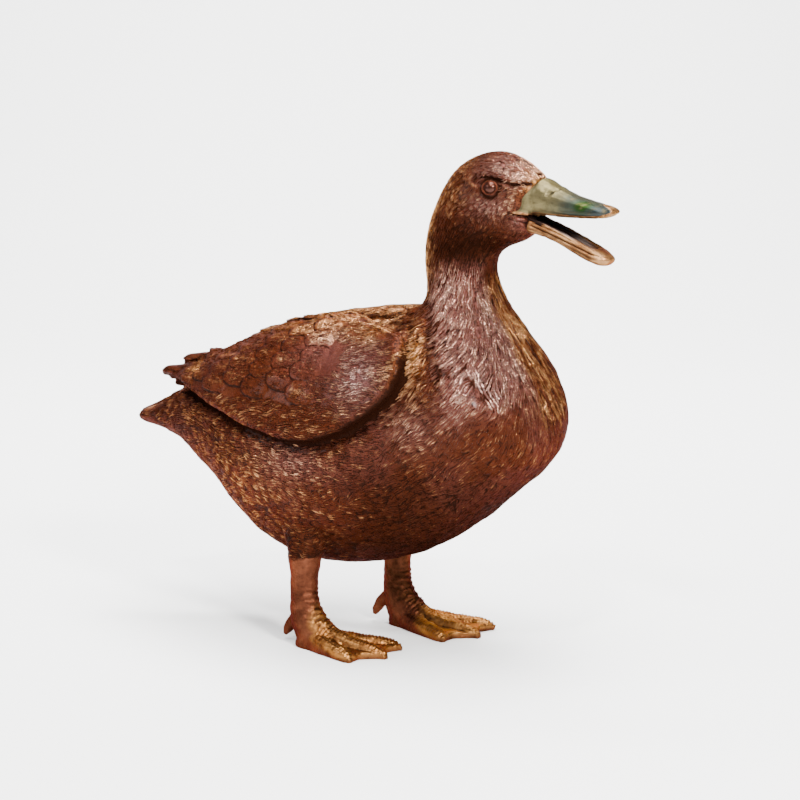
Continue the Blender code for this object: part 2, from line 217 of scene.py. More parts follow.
def plumage_bronze(name):
    """Red-brown patina with orange clouds and dark hollows, painted shade, a painted pale mauve sheen and
    painted highlights on the crests.
    """
    make = Finish(name)
    point = make.place()
    relief = make.attribute("relief")
    warm = make.attribute("warm")
    painted_sheen = make.attribute("painted_sheen")
    shade = make.attribute("shade")
    clouds = make.noise(point, 14.0, 3.0)
    patches = make.noise(point, 60.0, 4.0, 0.6)
    lumps = make.noise(point, 190.0, 3.0, 0.6)
    grain = make.noise(point, 620.0, 3.0, 0.7)
    wrinkles = (make.noise(point, 270.0, 2.0, 0.6) - 0.5).math("ABSOLUTE").ramp(0.045, 0.005)
    colour = make.mix((clouds + patches * 0.4).ramp(0.62, 0.86), RED_BROWN, PLUM_BROWN)
    colour = make.mix((clouds * 0.5 + patches * 0.5 + warm * 0.5).ramp(0.50, 1.05), colour, ORANGE_BROWN)
    # Painted sheen: a pale mauve tint, standing in for a reflection of the sky
    colour = make.mix(painted_sheen * 0.80, colour, MAUVE_SHEEN)
    # Golden patina, partly painted highlight, where warm is high
    colour = make.mix((warm + clouds * 0.4).ramp(0.80, 1.45), colour, GOLD_TONE_AND_HIGHLIGHT)
    # Dark patina in the hollows, deepened as painted shade where the relief is low
    hollow = (relief + lumps * 0.55 - shade * 0.30 - wrinkles * 0.26).ramp(0.82, 0.42)
    colour = make.mix(hollow, colour, DARK_PATINA_AND_SHADE)
    # Painted shade: nearly black where the shade attribute is painted
    colour = make.mix(shade * 0.78, colour, DARK_PATINA_AND_SHADE)
    # Painted highlight: the crests of the relief painted bright, paler where the sheen is painted, standing
    # in for glints
    crest = relief * 1.18 + lumps * 0.42 + grain * 0.45 + painted_sheen * 0.25 + warm * 0.42 - shade * 0.16
    crest = crest.ramp(1.38, 1.69)
    colour = make.mix(crest * (0.70 - painted_sheen * 0.06), colour, make.mix(painted_sheen, BRIGHT_CREST_HIGHLIGHT, PALE_CREST_HIGHLIGHT))
    rough = 0.28 - crest * 0.15 + patches * 0.14 - painted_sheen * 0.06 + hollow * 0.25 + shade * 0.20
    normal = make.bump(lumps * 0.8 + grain * 0.6 - wrinkles * 0.45, 0.85, 0.0012)
    return make.finish(base_color=colour, metallic=0.94, roughness=rough, normal=normal,
                       specular_tint=(0.36, 0.20, 0.14), coat_weight=0.04 - shade * 0.04, coat_roughness=0.15)


def bill_bronze(name):
    """Pale greenish-silver patina, yellow at the base, grey-blue ahead, with a copper rim and nail."""
    make = Finish(name)
    point = make.place()
    forward = make.attribute("forward")
    copper = make.attribute("copper")
    moss = make.attribute("moss")
    groove = make.attribute("groove")
    clouds = make.noise(point, 75.0, 4.0, 0.6)
    streaks = make.noise(make.place((60, 400, 400)), 2.2, 3.0, 0.6)
    colour = make.mix((forward + clouds * 0.6).ramp(0.42, 0.85), (0.120, 0.098, 0.046), (0.036, 0.040, 0.029))
    colour = make.mix((forward + clouds * 0.3).ramp(0.52, 0.95), colour, (0.020, 0.028, 0.030))
    colour = make.mix(moss * clouds.ramp(0.30, 0.55), colour, (0.010, 0.030, 0.004))
    # Painted highlight: pale patches laid by noise
    colour = make.mix(clouds.ramp(0.56, 0.78) * 0.6, colour, (0.20, 0.18, 0.10))
    blots = make.noise(point, 150.0, 4.0, 0.7)
    colour = make.mix(blots.ramp(0.50, 0.68) * 0.50, colour, (0.055, 0.040, 0.016))
    colour = make.mix(streaks.ramp(0.50, 0.75) * 0.50, colour, (0.050, 0.040, 0.020))
    rubbed = make.mix(streaks.ramp(0.35, 0.65), (0.105, 0.042, 0.016), (0.34, 0.17, 0.072))
    colour = make.mix((copper + clouds * 0.3).ramp(0.35, 0.95), colour, rubbed)
    # Painted shade in the grooves: the nostril slot and a line above the rim
    colour = make.mix(groove, colour, (0.022, 0.016, 0.009))
    rough = 0.36 + clouds * 0.16 - copper * 0.04
    normal = make.bump(streaks + clouds * 1.2, 0.35, 0.0007)
    return make.finish(base_color=colour, metallic=0.9, roughness=rough, normal=normal,
                       specular_tint=(0.42, 0.38, 0.30))


def copper_bronze(name):
    """Coppery bronze of the lower bill, brown in its grooves, with painted shade nearly black inside the
    mouth.
    """
    make = Finish(name)
    point = make.place()
    relief = make.attribute("relief")
    inside = make.attribute("inside")
    clouds = make.noise(point, 80.0, 4.0, 0.6)
    pits = make.noise(point, 420.0, 3.0, 0.6)
    colour = make.mix(clouds.ramp(0.35, 0.7), (0.135, 0.056, 0.021), (0.30, 0.160, 0.070))
    colour = make.mix((relief + clouds * 0.3 + pits * 0.2).ramp(0.85, 0.30), colour, (0.040, 0.014, 0.006))
    # Painted shade inside the mouth: grey, then nearly black deeper in
    colour = make.mix(inside.ramp(0.0, 0.40), colour, (0.115, 0.090, 0.080))
    colour = make.mix(inside.ramp(0.45, 1.00), colour, (0.012, 0.006, 0.005))
    rough = 0.32 + clouds * 0.14 + inside * 0.25
    return make.finish(base_color=colour, metallic=0.9, roughness=rough, specular_tint=(0.34, 0.20, 0.12),
                       normal=make.bump(pits + clouds, 0.35, 0.0008))


def foot_bronze(name):
    """Brown on the shank, rubbed bright gold on the toes, dark between the scutes."""
    make = Finish(name)
    point = make.place()
    relief = make.attribute("relief")
    gold = make.attribute("gold")
    clouds = make.noise(point, 55.0, 4.0, 0.6)
    lumps = make.noise(point, 300.0, 3.0, 0.6)
    grain = make.noise(point, 700.0, 3.0, 0.65)
    brown = make.mix(clouds.ramp(0.35, 0.7), (0.050, 0.0145, 0.0075), (0.125, 0.040, 0.020))
    bright = make.mix(clouds.ramp(0.3, 0.7), (0.37, 0.168, 0.048), (0.19, 0.070, 0.018))
    colour = make.mix((gold + clouds * 0.7 - 0.35).ramp(0.15, 0.85), brown, bright)
    colour = make.mix((relief + lumps * 0.5).ramp(0.88, 0.36), colour, (0.030, 0.010, 0.004))
    rough = 0.34 - gold * 0.12 + clouds * 0.16
    return make.finish(base_color=colour, metallic=0.94, roughness=rough, specular_tint=(0.50, 0.28, 0.15),
                       normal=make.bump(lumps + grain * 0.5, 0.7, 0.0012))


def eye_bronze(name):
    """Smooth dark bronze with a faint gloss."""
    make = Finish(name)
    clouds = make.noise(make.place(), 160.0, 3.0)
    colour = make.mix(clouds.ramp(0.3, 0.7), (0.026, 0.0085, 0.0055), (0.075, 0.025, 0.016))
    return make.finish(base_color=colour, metallic=0.90, roughness=0.24 + clouds * 0.10,
                       specular_tint=(0.40, 0.20, 0.13), coat_weight=0.16, coat_roughness=0.05)


# ---------- meshes ----------

def link(name, mesh, material=None):
    """The mesh as a named object in the scene, smooth-shaded."""
    mesh.shade_smooth()
    if material:
        mesh.materials.clear()
        mesh.materials.append(material)
    piece = bpy.data.objects.new(name, mesh)
    bpy.context.scene.collection.objects.link(piece)
    return piece


def put(name, shape, material=None):
    mesh = bpy.data.meshes.new(name)
    shape.to_mesh(mesh)
    shape.free()
    return link(name, mesh, material)


def copy_of(nodes):
    """A welded bmesh copy of CAD nodes."""
    shape = bmesh.new()
    for node in nodes:
        shape.from_mesh(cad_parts[node].data)
    bmesh.ops.remove_doubles(shape, verts=shape.verts, dist=1e-6)
    return shape


def evaluated(piece):
    """A mesh of the piece with its modifiers applied."""
    bpy.context.view_layer.update()
    return bpy.data.meshes.new_from_object(piece.evaluated_get(bpy.context.evaluated_depsgraph_get()))


def recast(name, shape, voxel, smoothing):
    """The closed shapes as one even surface, smoothed. Returns the new mesh."""
    piece = put(name, shape)
    remesh = piece.modifiers.new("even", "REMESH")
    remesh.mode = "VOXEL"
    remesh.voxel_size = voxel
    smooth = piece.modifiers.new("smooth", "SMOOTH")
    smooth.iterations = smoothing
    smooth.factor = 0.5
    mesh = evaluated(piece)
    bpy.data.objects.remove(piece)
    return mesh


def read_rows(rows, name):
    """A three-part value of each row of a mesh, as an array."""
    found = np.empty(len(rows) * 3, np.float32)
    rows.foreach_get(name, found)
    return found.reshape(-1, 3).astype(float)


def soften(shape, verts):
    """Moves the vertices half of the way to the middle of their neighbours."""
    bmesh.ops.smooth_vert(shape, verts=verts, factor=0.5, use_axis_x=True, use_axis_y=True, use_axis_z=True)


def points_of(mesh):
    return read_rows(mesh.vertices, "co")


def normals_of(mesh):
    return read_rows(mesh.vertex_normals, "vector")


def set_points(mesh, points):
    """Moves the mesh's points, none of them beyond the box of the solids."""
    mesh.vertices.foreach_set("co", np.clip(points, BOX_LOW, BOX_HIGH).astype(np.float32).ravel())
    mesh.update()


def paint(mesh, name, values):
    """A number for each vertex, which the finishes read."""
    layer = mesh.attributes.get(name) or mesh.attributes.new(name, "FLOAT", "POINT")
    layer.data.foreach_set("value", np.clip(values, 0, 1).astype(np.float32))


def cloud(points, size, seed=0.0):
    """Soft noise from -1 to 1 at each point, of that grain size in metres."""
    shift = Vector((seed, seed * 0.7, seed * 1.3))
    return np.array([noise.noise(Vector(point) / size + shift) for point in points])


def smoothstep(low, high, values):
    share = np.clip((values - low) / (high - low), 0, 1)
    return share * share * (3 - 2 * share)


def bell(gap, width, other=0, other_width=1):
    """1 where the gaps are nothing, falling away smoothly over their widths."""
    return np.exp(-((gap / width) ** 2 + (other / other_width) ** 2))


def distance_to_path(points, path):
    """(distance, share along) from each 2-D point to a polyline."""
    path = np.array(path, float)
    best = np.full(len(points), 1e9)
    along = np.zeros(len(points))
    lengths = np.linalg.norm(np.diff(path, axis=0), axis=1)
    starts = np.concatenate([[0], np.cumsum(lengths)])
    for start, end, before in zip(path[:-1], path[1:], starts):
        step = end - start
        share = np.clip(((points - start) @ step) / (step @ step), 0, 1)
        gap = np.linalg.norm(points - (start + share[:, None] * step), axis=1)
        nearer = gap < best
        best[nearer] = gap[nearer]
        along[nearer] = (before + share * np.linalg.norm(step))[nearer] / starts[-1]
    return best, along


def smooth_loop(outline, per_stretch=6):
    """A smooth closed curve through the outline's points."""
    found = []
    for first in range(len(outline)):
        a, b, c, d = (np.array(outline[(first + offset) % len(outline)]) for offset in (-1, 0, 1, 2))
        for step in range(per_stretch):
            t = step / per_stretch
            found.append(0.5 * (2 * b + (c - a) * t + (2 * a - 5 * b + 4 * c - d) * t**2
                                + (3 * b - a - 3 * c + d) * t**3))
    return np.array(found)


WING_LOOP = smooth_loop(WING_EDGE)


def inside_wing(x, z):
    """Whether each point of the side view lies inside the folded wing."""
    inside = np.zeros(len(x), bool)
    for (x1, z1), (x2, z2) in zip(WING_LOOP, np.roll(WING_LOOP, -1, axis=0)):
        crosses = (z1 > z) != (z2 > z)
        with np.errstate(divide="ignore", invalid="ignore"):
            where = (x2 - x1) * (z - z1) / (z2 - z1) + x1
        inside ^= crosses & (x < where)
    return inside


def wing_depth(points):
    """How far inside the wing's edge each point lies, in metres; negative outside."""
    side = points[:, [0, 2]]
    depth, _ = distance_to_path(side, np.vstack([WING_LOOP, WING_LOOP[:1]]))
    inner_limit = np.interp(points[:, 0], [-0.14, -0.014, 0.003, 0.027, 0.062, 0.085],
                            [0.004, 0.018, 0.018, 0.030, 0.057, 0.066])
    inside = inside_wing(points[:, 0], points[:, 2]) & (np.abs(points[:, 1]) > inner_limit)
    return np.where(inside, depth, -depth)


def cord_gap(points):
    """How far each point lies from the wing's cord, on either side."""
    x, y, z = points.T
    return distance_to_path(np.stack([x, np.abs(y), z], axis=1), CORD)[0]


def fold_gap(points):
    """How far each point lies from the fold beside the neck, on either side."""
    x, y, z = points.T
    return distance_to_path(np.stack([x, np.abs(y), z], axis=1), NECK_FOLD)[0]


def before_fold(points):
    """How far each point lies in front of the fold beside the neck, towards the bill."""
    path = np.array(NECK_FOLD)[::-1]
    return points[:, 0] - np.interp(points[:, 2], path[:, 2], path[:, 0])


def gather(name, points, faces, material, spots, **painted):
    """Makes one piece from arrays of points and triangles, with an OFBake spot for each point."""
    mesh = bpy.data.meshes.new(name)
    mesh.vertices.add(len(points))
    mesh.vertices.foreach_set("co", np.clip(points, BOX_LOW, BOX_HIGH).astype(np.float32).ravel())
    mesh.loops.add(faces.size)
    mesh.loops.foreach_set("vertex_index", faces.astype(np.int32).ravel())
    mesh.polygons.add(len(faces))
    mesh.polygons.foreach_set("loop_start", np.arange(0, faces.size, 3, dtype=np.int32))
    mesh.update(calc_edges=True)
    mesh.validate()
    paint_layers(mesh, **painted)
    uv = mesh.uv_layers.new(name="OFBake")
    uv.data.foreach_set("uv", spots[faces.ravel()].astype(np.float32).ravel())
    piece = link(name, mesh, material)
    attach(piece, "root")


# ---------- the lie of the plumage ----------

RINGS = np.array(COMB_RINGS) + [FORWARD, 0]
RING_UP = RINGS[:, 0] - RINGS[:, 1]
RING_AHEAD = np.stack([RING_UP[:, 1], -RING_UP[:, 0]], axis=1) / np.linalg.norm(RING_UP, axis=1)[:, None]


def ring_place(points):
    """How many rings of the comb table lie behind each point, with the share of the way to the next."""
    side = points[:, [0, 2]]
    beyond = ((side[:, None, :] - RINGS[None, :, 0, :]) * RING_AHEAD[None]).sum(axis=2)
    near, far = beyond[:, :-1], beyond[:, 1:]
    share = np.clip(near / np.maximum(near - far, FINEST), 0, 1)
    return np.where(near < 0, 0, np.where(far >= 0, 1, share)).sum(axis=1)


def ring_value(place, table):
    """A row of numbers of the ring table, read between rings."""
    numbers = np.arange(len(table))
    return np.stack([np.interp(place, numbers, table[:, column]) for column in range(table.shape[1])], axis=1)


def comb_lie(points, normals):
    """The direction in which the plumage lies at each point: away from the bill, along the surface."""
    ahead = ring_value(ring_place(points), RING_AHEAD)
    lie = np.stack([-ahead[:, 0], np.zeros(len(points)), -ahead[:, 1]], axis=1)
    return turned(lie, normals, np.zeros(len(points)))


def unwrapped(points):
    """Each point's place on an unwrap of the body: turn round the ring, and place along it."""
    place = ring_place(points)
    upper, under = ring_value(place, RINGS[:, 0]), ring_value(place, RINGS[:, 1])
    up = upper - under
    height = ((points[:, [0, 2]] - (upper + under) / 2) * up).sum(axis=1) / (up**2).sum(axis=1) * 2
    width = np.interp(place, (0, 3, 8, 12, 14, 16, 20, 24),
                      (0.010, 0.047, 0.088, 0.072, 0.045, 0.028, 0.027, 0.016))
    turn = np.arctan2(points[:, 1] / width, height) / math.tau % 1
    return np.stack([0.02 + 0.96 * turn, 0.02 + 0.96 * place / (len(RINGS) - 1)], axis=1)


def turned(lies, normals, angles):
    """Each lie laid flat on the surface and turned about its normal by an angle."""
    flat = lies - normals * (lies * normals).sum(axis=1)[:, None]
    flat /= np.maximum(np.linalg.norm(flat, axis=1), FINEST)[:, None]
    sideways = np.cross(normals, flat)
    return flat * np.cos(angles)[:, None] + sideways * np.sin(angles)[:, None]


# ---------- the skin ----------

def make_skin(material):
    """One skin over trunk, neck, head, tail, wings and thighs."""
    body = recast("body_form", copy_of((*FLESH, "eye_left", "eye_right")), 0.0024, 26)
    shape = bmesh.new()
    shape.from_mesh(body)
    for side in SIDES:
        wing = copy_of((f"wing_{side}",))
        cut_off(wing, (-0.158, 0, 0), (1, 0, 0))
        wing = recast("wing_form", wing, 0.0016, 9)
        set_points(wing, points_of(wing) + normals_of(wing) * 0.0006)
        shape.from_mesh(wing)
        thigh = copy_of((f"leg_{side}",))
        cut_off(thigh, (0, 0, 0.060), (0, 0, 1))
        mesh = bpy.data.meshes.new("thigh_form")
        thigh.to_mesh(mesh)
        shape.from_mesh(mesh)
    mesh = recast("skin_form", shape, 0.0021, 3)
    shape = bmesh.new()
    shape.from_mesh(mesh)
    fine = [edge for edge in shape.edges if all(v.co.z > 0.302 and v.co.x > 0.06 for v in edge.verts)]
    bmesh.ops.subdivide_edges(shape, edges=fine, cuts=1, use_grid_fill=True)
    bmesh.ops.triangulate(shape, faces=shape.faces)
    soften(shape, [v for v in shape.verts if v.co.z > 0.300])
    skin = put("skin", shape, material)
    mesh = skin.data
    points, normals = points_of(mesh), normals_of(mesh)
    depth = wing_depth(points)
    lumps = cloud(points, 0.013, 3) * 0.0007 + cloud(points, 0.030, 9) * 0.0011
    lumps = lumps * smoothstep(0.31, 0.27, points[:, 2]) * smoothstep(0.060, 0.075, points[:, 2])
    move = head_folds(points) + lumps
    move += breast_folds(points)
    under_wing = np.abs(points[:, 1]) > 0.03
    move -= 0.0030 * bell(depth + 0.0045, 0.0038) * under_wing * smoothstep(0.100, 0.06, points[:, 0])
    move += 0.0010 * bell(depth - 0.0045, 0.0035) * under_wing
    gap = cord_gap(points)
    move += 0.0009 * bell(gap, 0.0013) - 0.0008 * bell(gap - 0.0032, 0.0012)
    move -= 0.0026 * bell(fold_gap(points), 0.0030)
    move -= 0.0016 * smoothstep(PLUMAGE_END, 0.0690, points[:, 2]) * beside_shank(points)
    points += normals * move[:, None]
    points[:, 1] = np.clip(points[:, 1], -WIDEST_SKIN, WIDEST_SKIN)
    set_points(mesh, points)
    return skin


def beside_shank(points):
    """1 at the shanks, where the plumage ends inside the foot piece, and 0 away from them."""
    leg = points_of(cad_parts["leg_right"].data)
    centre = leg[leg[:, 2] < 0.075].mean(axis=0)
    away = np.hypot(points[:, 0] - centre[0], np.abs(points[:, 1]) - abs(centre[1]))
    return smoothstep(0.0150, 0.0110, away)


def cut_off(shape, point, normal):
    """Keeps the part of a bmesh on the side that the normal points to, and closes the cut."""
    whole = shape.verts[:] + shape.edges[:] + shape.faces[:]
    cut = bmesh.ops.bisect_plane(shape, geom=whole, plane_co=point, plane_no=normal, clear_inner=True)
    rim = [item for item in cut["geom_cut"] if isinstance(item, bmesh.types.BMEdge)]
    bmesh.ops.edgeloop_fill(shape, edges=rim)
    bmesh.ops.recalc_face_normals(shape, faces=shape.faces)


def ridge(points, path, width, height):
    """A long fold of that height along a path of the side view."""
    gap, along = distance_to_path(points[:, [0, 2]], path)
    return height * bell(gap, width) * smoothstep(0, 0.12, along) * smoothstep(1, 0.88, along)


def head_folds(points):
    """How far each point of the head moves out: brow, eye hollow and the fleshy corner of the mouth."""
    on_side = smoothstep(0.005, 0.012, np.abs(points[:, 1])) * (points[:, 2] > 0.3) * (points[:, 0] > 0.1)
    move = ridge(points, BROW, 0.0012, -0.0017)
    move += ridge(points + [0, 0, -0.0028], BROW, 0.0020, 0.0009)
    move += ridge(points, ((0.145, 0.3400), (0.152, 0.3365), (0.161, 0.3345)), 0.0013, 0.0012)
    move += ridge(points, ((0.147, 0.3355), (0.154, 0.3320), (0.161, 0.3290)), 0.0012, 0.0010)
    move += ridge(points, ((0.145, 0.3380), (0.152, 0.3345), (0.160, 0.3320)), 0.0009, -0.0012)
    move += ridge(points, MOUTH_SLIT, 0.0010, -0.0016)
    move += ridge(points, ((0.1400, 0.3588), (0.1435, 0.3582), (0.1475, 0.3576)), 0.0009, -0.0012)
    move += ridge(points, ((0.1280, 0.3606), (0.1240, 0.3622), (0.1200, 0.3640)), 0.0009, -0.0012)
    centre = eye_centre(-1)
    around = np.hypot(points[:, 0] - centre.x, points[:, 2] - centre.z)
    move -= 0.0012 * bell(around - LID_RING, 0.0014)
    return move * on_side


def folded_patch(points):
    """The patch of upright folds on the right of the breast, where painted sheen is laid."""
    x, y, z = points.T
    return bell(y + 0.0490, 0.0085, z - 0.2185, 0.0135) * (x > 0.10)


def smooth_patch(points):
    """The smooth reddish patch below and outside the folds, where painted sheen is laid."""
    x, y, z = points.T
    return bell(x - 0.1365, 0.0080, z - 0.1955, 0.0110) * (y < 0)


def breast_folds(points):
    """Small lumps in the rubbed patch and at the breast's front."""
    x, y, z = points.T
    lumps = bell(y, 0.022, z - 0.214, 0.012) * (x > 0.12)
    return (0.0007 * folded_patch(points) + 0.0012 * lumps) * cloud(points, 0.0050, 61)


def wing_trough(points):
    """The shadowed trough under the wing's rim, from 0 to 1."""
    depth = wing_depth(points)
    below = smoothstep(0.245, 0.225, points[:, 2]) * (np.abs(points[:, 1]) > 0.03)
    centre = np.interp(points[:, 0], (-0.10, -0.02), (-0.0042, -0.0016))
    return bell(depth - centre, 0.0041) * below


def paint_body(points):
    """The painted numbers that all plumage shares: warm, painted sheen and painted shade."""
    return {"warm": warmth(points), "painted_sheen": paint_sheen(points), "shade": shading(points)}


def paint_layers(mesh, **layers):
    for layer, values in layers.items():
        paint(mesh, layer, values)


def warmth(points):
    """Where the patina is golden orange, partly as painted highlight that also brightens the crests: wing
    crease, neck, forehead, belly and the wing's rear.
    """
    x, y, z = points.T
    crease = bell(x - 0.096, 0.014, z - 0.236, 0.028) * (np.abs(y) > 0.035)
    crease *= smoothstep(0.002, -0.004, before_fold(points))
    neck_front = bell(y - 0.007, np.where(y < 0.007, 0.022, 0.030)) * smoothstep(0.185, 0.205, z)
    neck_front *= smoothstep(0.305, 0.290, z) * (x > 0.1)
    forehead = bell(x - 0.158, 0.014, z - 0.368, 0.011)
    base = smoothstep(0.009, 0.001, bill_edge(z) - x) * (z > 0.338) * 0.45
    skull = smoothstep(0.333, 0.350, z) * smoothstep(0.128, 0.104, x) * 0.42
    cord = bell(cord_gap(points), 0.0015) * 0.3
    belly = smoothstep(0.20, 0.09, z) * 0.10 * smoothstep(0.10, -0.02, x)
    wing_rear = smoothstep(0.02, -0.08, x) * 0.21
    neck_front *= 0.72 + 0.9 * cloud(points * (1.0, 1.0, 0.35), 0.006, 41)
    nape = bell(x - 0.074, 0.011) * smoothstep(0.27, 0.29, z)
    nape *= 0.32 + 0.58 * smoothstep(0.005, 0.015, np.abs(y))
    back = smoothstep(0.235, 0.25, z) * smoothstep(0.08, 0.06, x) * 0.5
    tip = bell(x + 0.127, 0.011, z - 0.2080, 0.006) * (np.abs(y) > 0.02) * 0.7
    spread = crease * 0.84 + neck_front * 0.80 + forehead * 0.8
    return np.clip(spread + base + skull + cord + belly + wing_rear + nape + back + tip, 0, 1)


# Spots of painted sheen: name, x, half-length, z, half-height, strength, and the least distance from the
# middle
SHEEN_SPOTS = (
    ("shoulder", 0.062, 0.019, 0.219, 0.020, 1.0, 0.06), ("wing", 0.022, 0.030, 0.236, 0.014, 0.5, 0.03),
    ("breast", 0.106, 0.020, 0.186, 0.018, 0.5, 0.04), ("cheek", 0.134, 0.018, 0.347, 0.009, 0.7, -1),
    ("crown", 0.138, 0.017, 0.374, 0.010, 0.7, -1), ("flank", 0.000, 0.030, 0.150, 0.014, 0.5, -1),
    ("forehead", 0.158, 0.012, 0.366, 0.010, 0.5, -1), ("gape", 0.154, 0.007, 0.3335, 0.006, 0.5, -1),
)


def paint_sheen(points):
    """Painted sheen: where a pale, pinkish highlight is painted on the bronze: shoulders, breast, neck's
    sides and cheeks.
    """
    x, y, z = points.T
    sheen = 0.35 * folded_patch(points) + 0.3 * smooth_patch(points)
    for _, ahead, long, up, tall, strength, least in SHEEN_SPOTS:
        sheen += strength * bell(x - ahead, long, z - up, tall) * (np.abs(y) > least)
    from_middle = np.where(y < 0, -y, y - 0.034)
    neck = smoothstep(0.0, 0.014, before_fold(points)) * smoothstep(0.003, 0.014, from_middle) * 0.72
    neck *= smoothstep(0.186, 0.216, z) * smoothstep(0.314, 0.300, z) * smoothstep(0.175, 0.150, x)
    return np.clip(sheen + neck, 0, 1)


def shading(points):
    """Painted shade: where the colour is painted nearly black as shade: throat, neck fold, rear, and under
    the wings and belly.
    """
    x, _, z = points.T
    throat = bell(x - 0.110, 0.030, z - 0.317, 0.014)
    rear = smoothstep(-0.05, -0.14, x) * 0.22
    slit = ridge(points, MOUTH_SLIT, 0.0010, 0.9)
    eye = eye_centre(-1)
    around = np.hypot(x - eye.x, z - eye.z)
    socket = bell(around - LID_RING, 0.0013) * 0.8
    brow = bell(distance_to_path(points[:, [0, 2]], BROW)[0], 0.0011) * (z > 0.35) * 0.95
    lower = smoothstep(0.175, 0.125, z) * smoothstep(0.02, 0.08, x) * 0.60
    fold = bell(fold_gap(points), 0.0028) * 0.90
    fold += bell(before_fold(points) - 0.008, 0.009) * smoothstep(0.214, 0.225, z) * (z < 0.285) * 0.22
    belly = smoothstep(0.115, 0.075, z) * smoothstep(0.060, 0.074, z) * 0.35
    return np.clip(throat + rear + slit + socket + brow + lower + fold + belly + wing_trough(points), 0, 1)


# ---------- strokes ----------

def spread_over(skin, inside, apart):
    """Points about evenly spread over the part of the skin inside a mask, with their normals."""
    mesh = skin.data
    points, normals = points_of(mesh), normals_of(mesh)
    faces = np.empty(len(mesh.polygons) * 3, np.int32)
    mesh.polygons.foreach_get("vertices", faces)
    faces = faces.reshape(-1, 3)
    faces = faces[inside[faces].all(axis=1)]
    corners = points[faces]
    areas = np.linalg.norm(np.cross(corners[:, 1] - corners[:, 0], corners[:, 2] - corners[:, 0]), axis=1) / 2
    wanted = int(areas.sum() / apart**2 * 6)
    chosen = rng.choice(len(faces), wanted, p=areas / areas.sum())
    shares = rng.dirichlet((1, 1, 1), wanted)
    spots = (corners[chosen] * shares[:, :, None]).sum(axis=1)
    outs = (normals[faces[chosen]] * shares[:, :, None]).sum(axis=1)
    cells = np.floor(spots / apart).astype(int)
    _, first = np.unique(cells, axis=0, return_index=True)
    spots, outs = spots[first], outs[first]
    tree = KDTree(len(spots))
    for number, spot in enumerate(spots):
        tree.insert(spot, number)
    tree.balance()
    dropped = set()
    for number, spot in enumerate(spots):
        if number not in dropped:
            dropped.update(other for _, other, _ in tree.find_range(spot, apart * 0.62) if other > number)
    kept = np.array([number for number in range(len(spots)) if number not in dropped])
    return spots[kept], outs[kept] / np.linalg.norm(outs[kept], axis=1)[:, None]


def surface_of(*pieces):
    """The surfaces of the pieces as one, for strokes and feathers to lie on."""
    points, faces = [], []
    for piece in pieces:
        faces += [[corner + len(points) for corner in face.vertices] for face in piece.data.polygons]
        points += points_of(piece.data).tolist()
    return BVHTree.FromPolygons(points, faces)


def on_surface(surface, points):
    """(points, normals) where each point lands on the skin."""
    found = [surface.find_nearest(point) for point in points]
    return np.array([item[0] for item in found]), np.array([item[1] for item in found])


def tuft_strokes(surface, roots, normals, lies, lengths, widths, stroke_width, lift):
    """The strokes of tufts, as arrays by name. Each tuft is a fan that closes to its tip."""
    many = np.maximum(np.round(widths / stroke_width * 0.92), 2).astype(int)
    owner = np.repeat(np.arange(len(roots)), many)
    first = np.concatenate([[0], np.cumsum(many)[:-1]])
    number = np.arange(len(owner)) - first[owner]
    across = ((number + 0.5) / many[owner] * 2 - 1) + rng.normal(0, 0.08, len(owner))
    sideways = np.cross(normals, lies)[owner]
    lie, length, width = lies[owner], lengths[owner], widths[owner]
    bend = rng.normal(0, 0.06, len(roots))[owner] + rng.normal(0, 0.025, len(owner))
    reach = length * (1 - 0.30 * across**2) * rng.uniform(0.80, 1.12, len(owner))
    begin = roots[owner] + sideways * (across * width / 2)[:, None]
    begin += lie * (length * 0.16 * across**2)[:, None]
    end = begin + lie * reach[:, None] - sideways * (across * width * 0.13)[:, None]
    middle = (begin + end) / 2 + sideways * (bend * reach)[:, None]
    start, start_out = on_surface(surface, begin)
    centre, _ = on_surface(surface, middle)
    stop, stop_out = on_surface(surface, end)
    found = {"start": start, "middle": centre, "end": stop, "out": start_out, "end_out": stop_out,
             "owner": owner, "lift": lift[owner],
             "width": stroke_width[owner] * rng.uniform(0.85, 1.2, len(owner))}
    whole = ((start_out * stop_out).sum(axis=1) > 0.2) & (np.linalg.norm(stop - start, axis=1) < reach * 1.15)
    whole &= np.linalg.norm(centre - (start + stop) / 2, axis=1) < reach * 0.35
    return {key: values[whole] for key, values in found.items()}


def spindle_form():
    """A three-sided spindle: (across, out, along) of each corner, and its triangles."""
    shape = bmesh.new()
    bmesh.ops.create_uvsphere(shape, u_segments=3, v_segments=5, radius=1.0)
    bmesh.ops.rotate(shape, verts=shape.verts, matrix=Matrix.Rotation(math.pi / 2, 3, "Z"))
    bmesh.ops.triangulate(shape, faces=shape.faces)
    form = np.array([vert.co for vert in shape.verts])
    faces = np.array([[vert.index for vert in face.verts] for face in shape.faces])
    shape.free()
    return form, faces


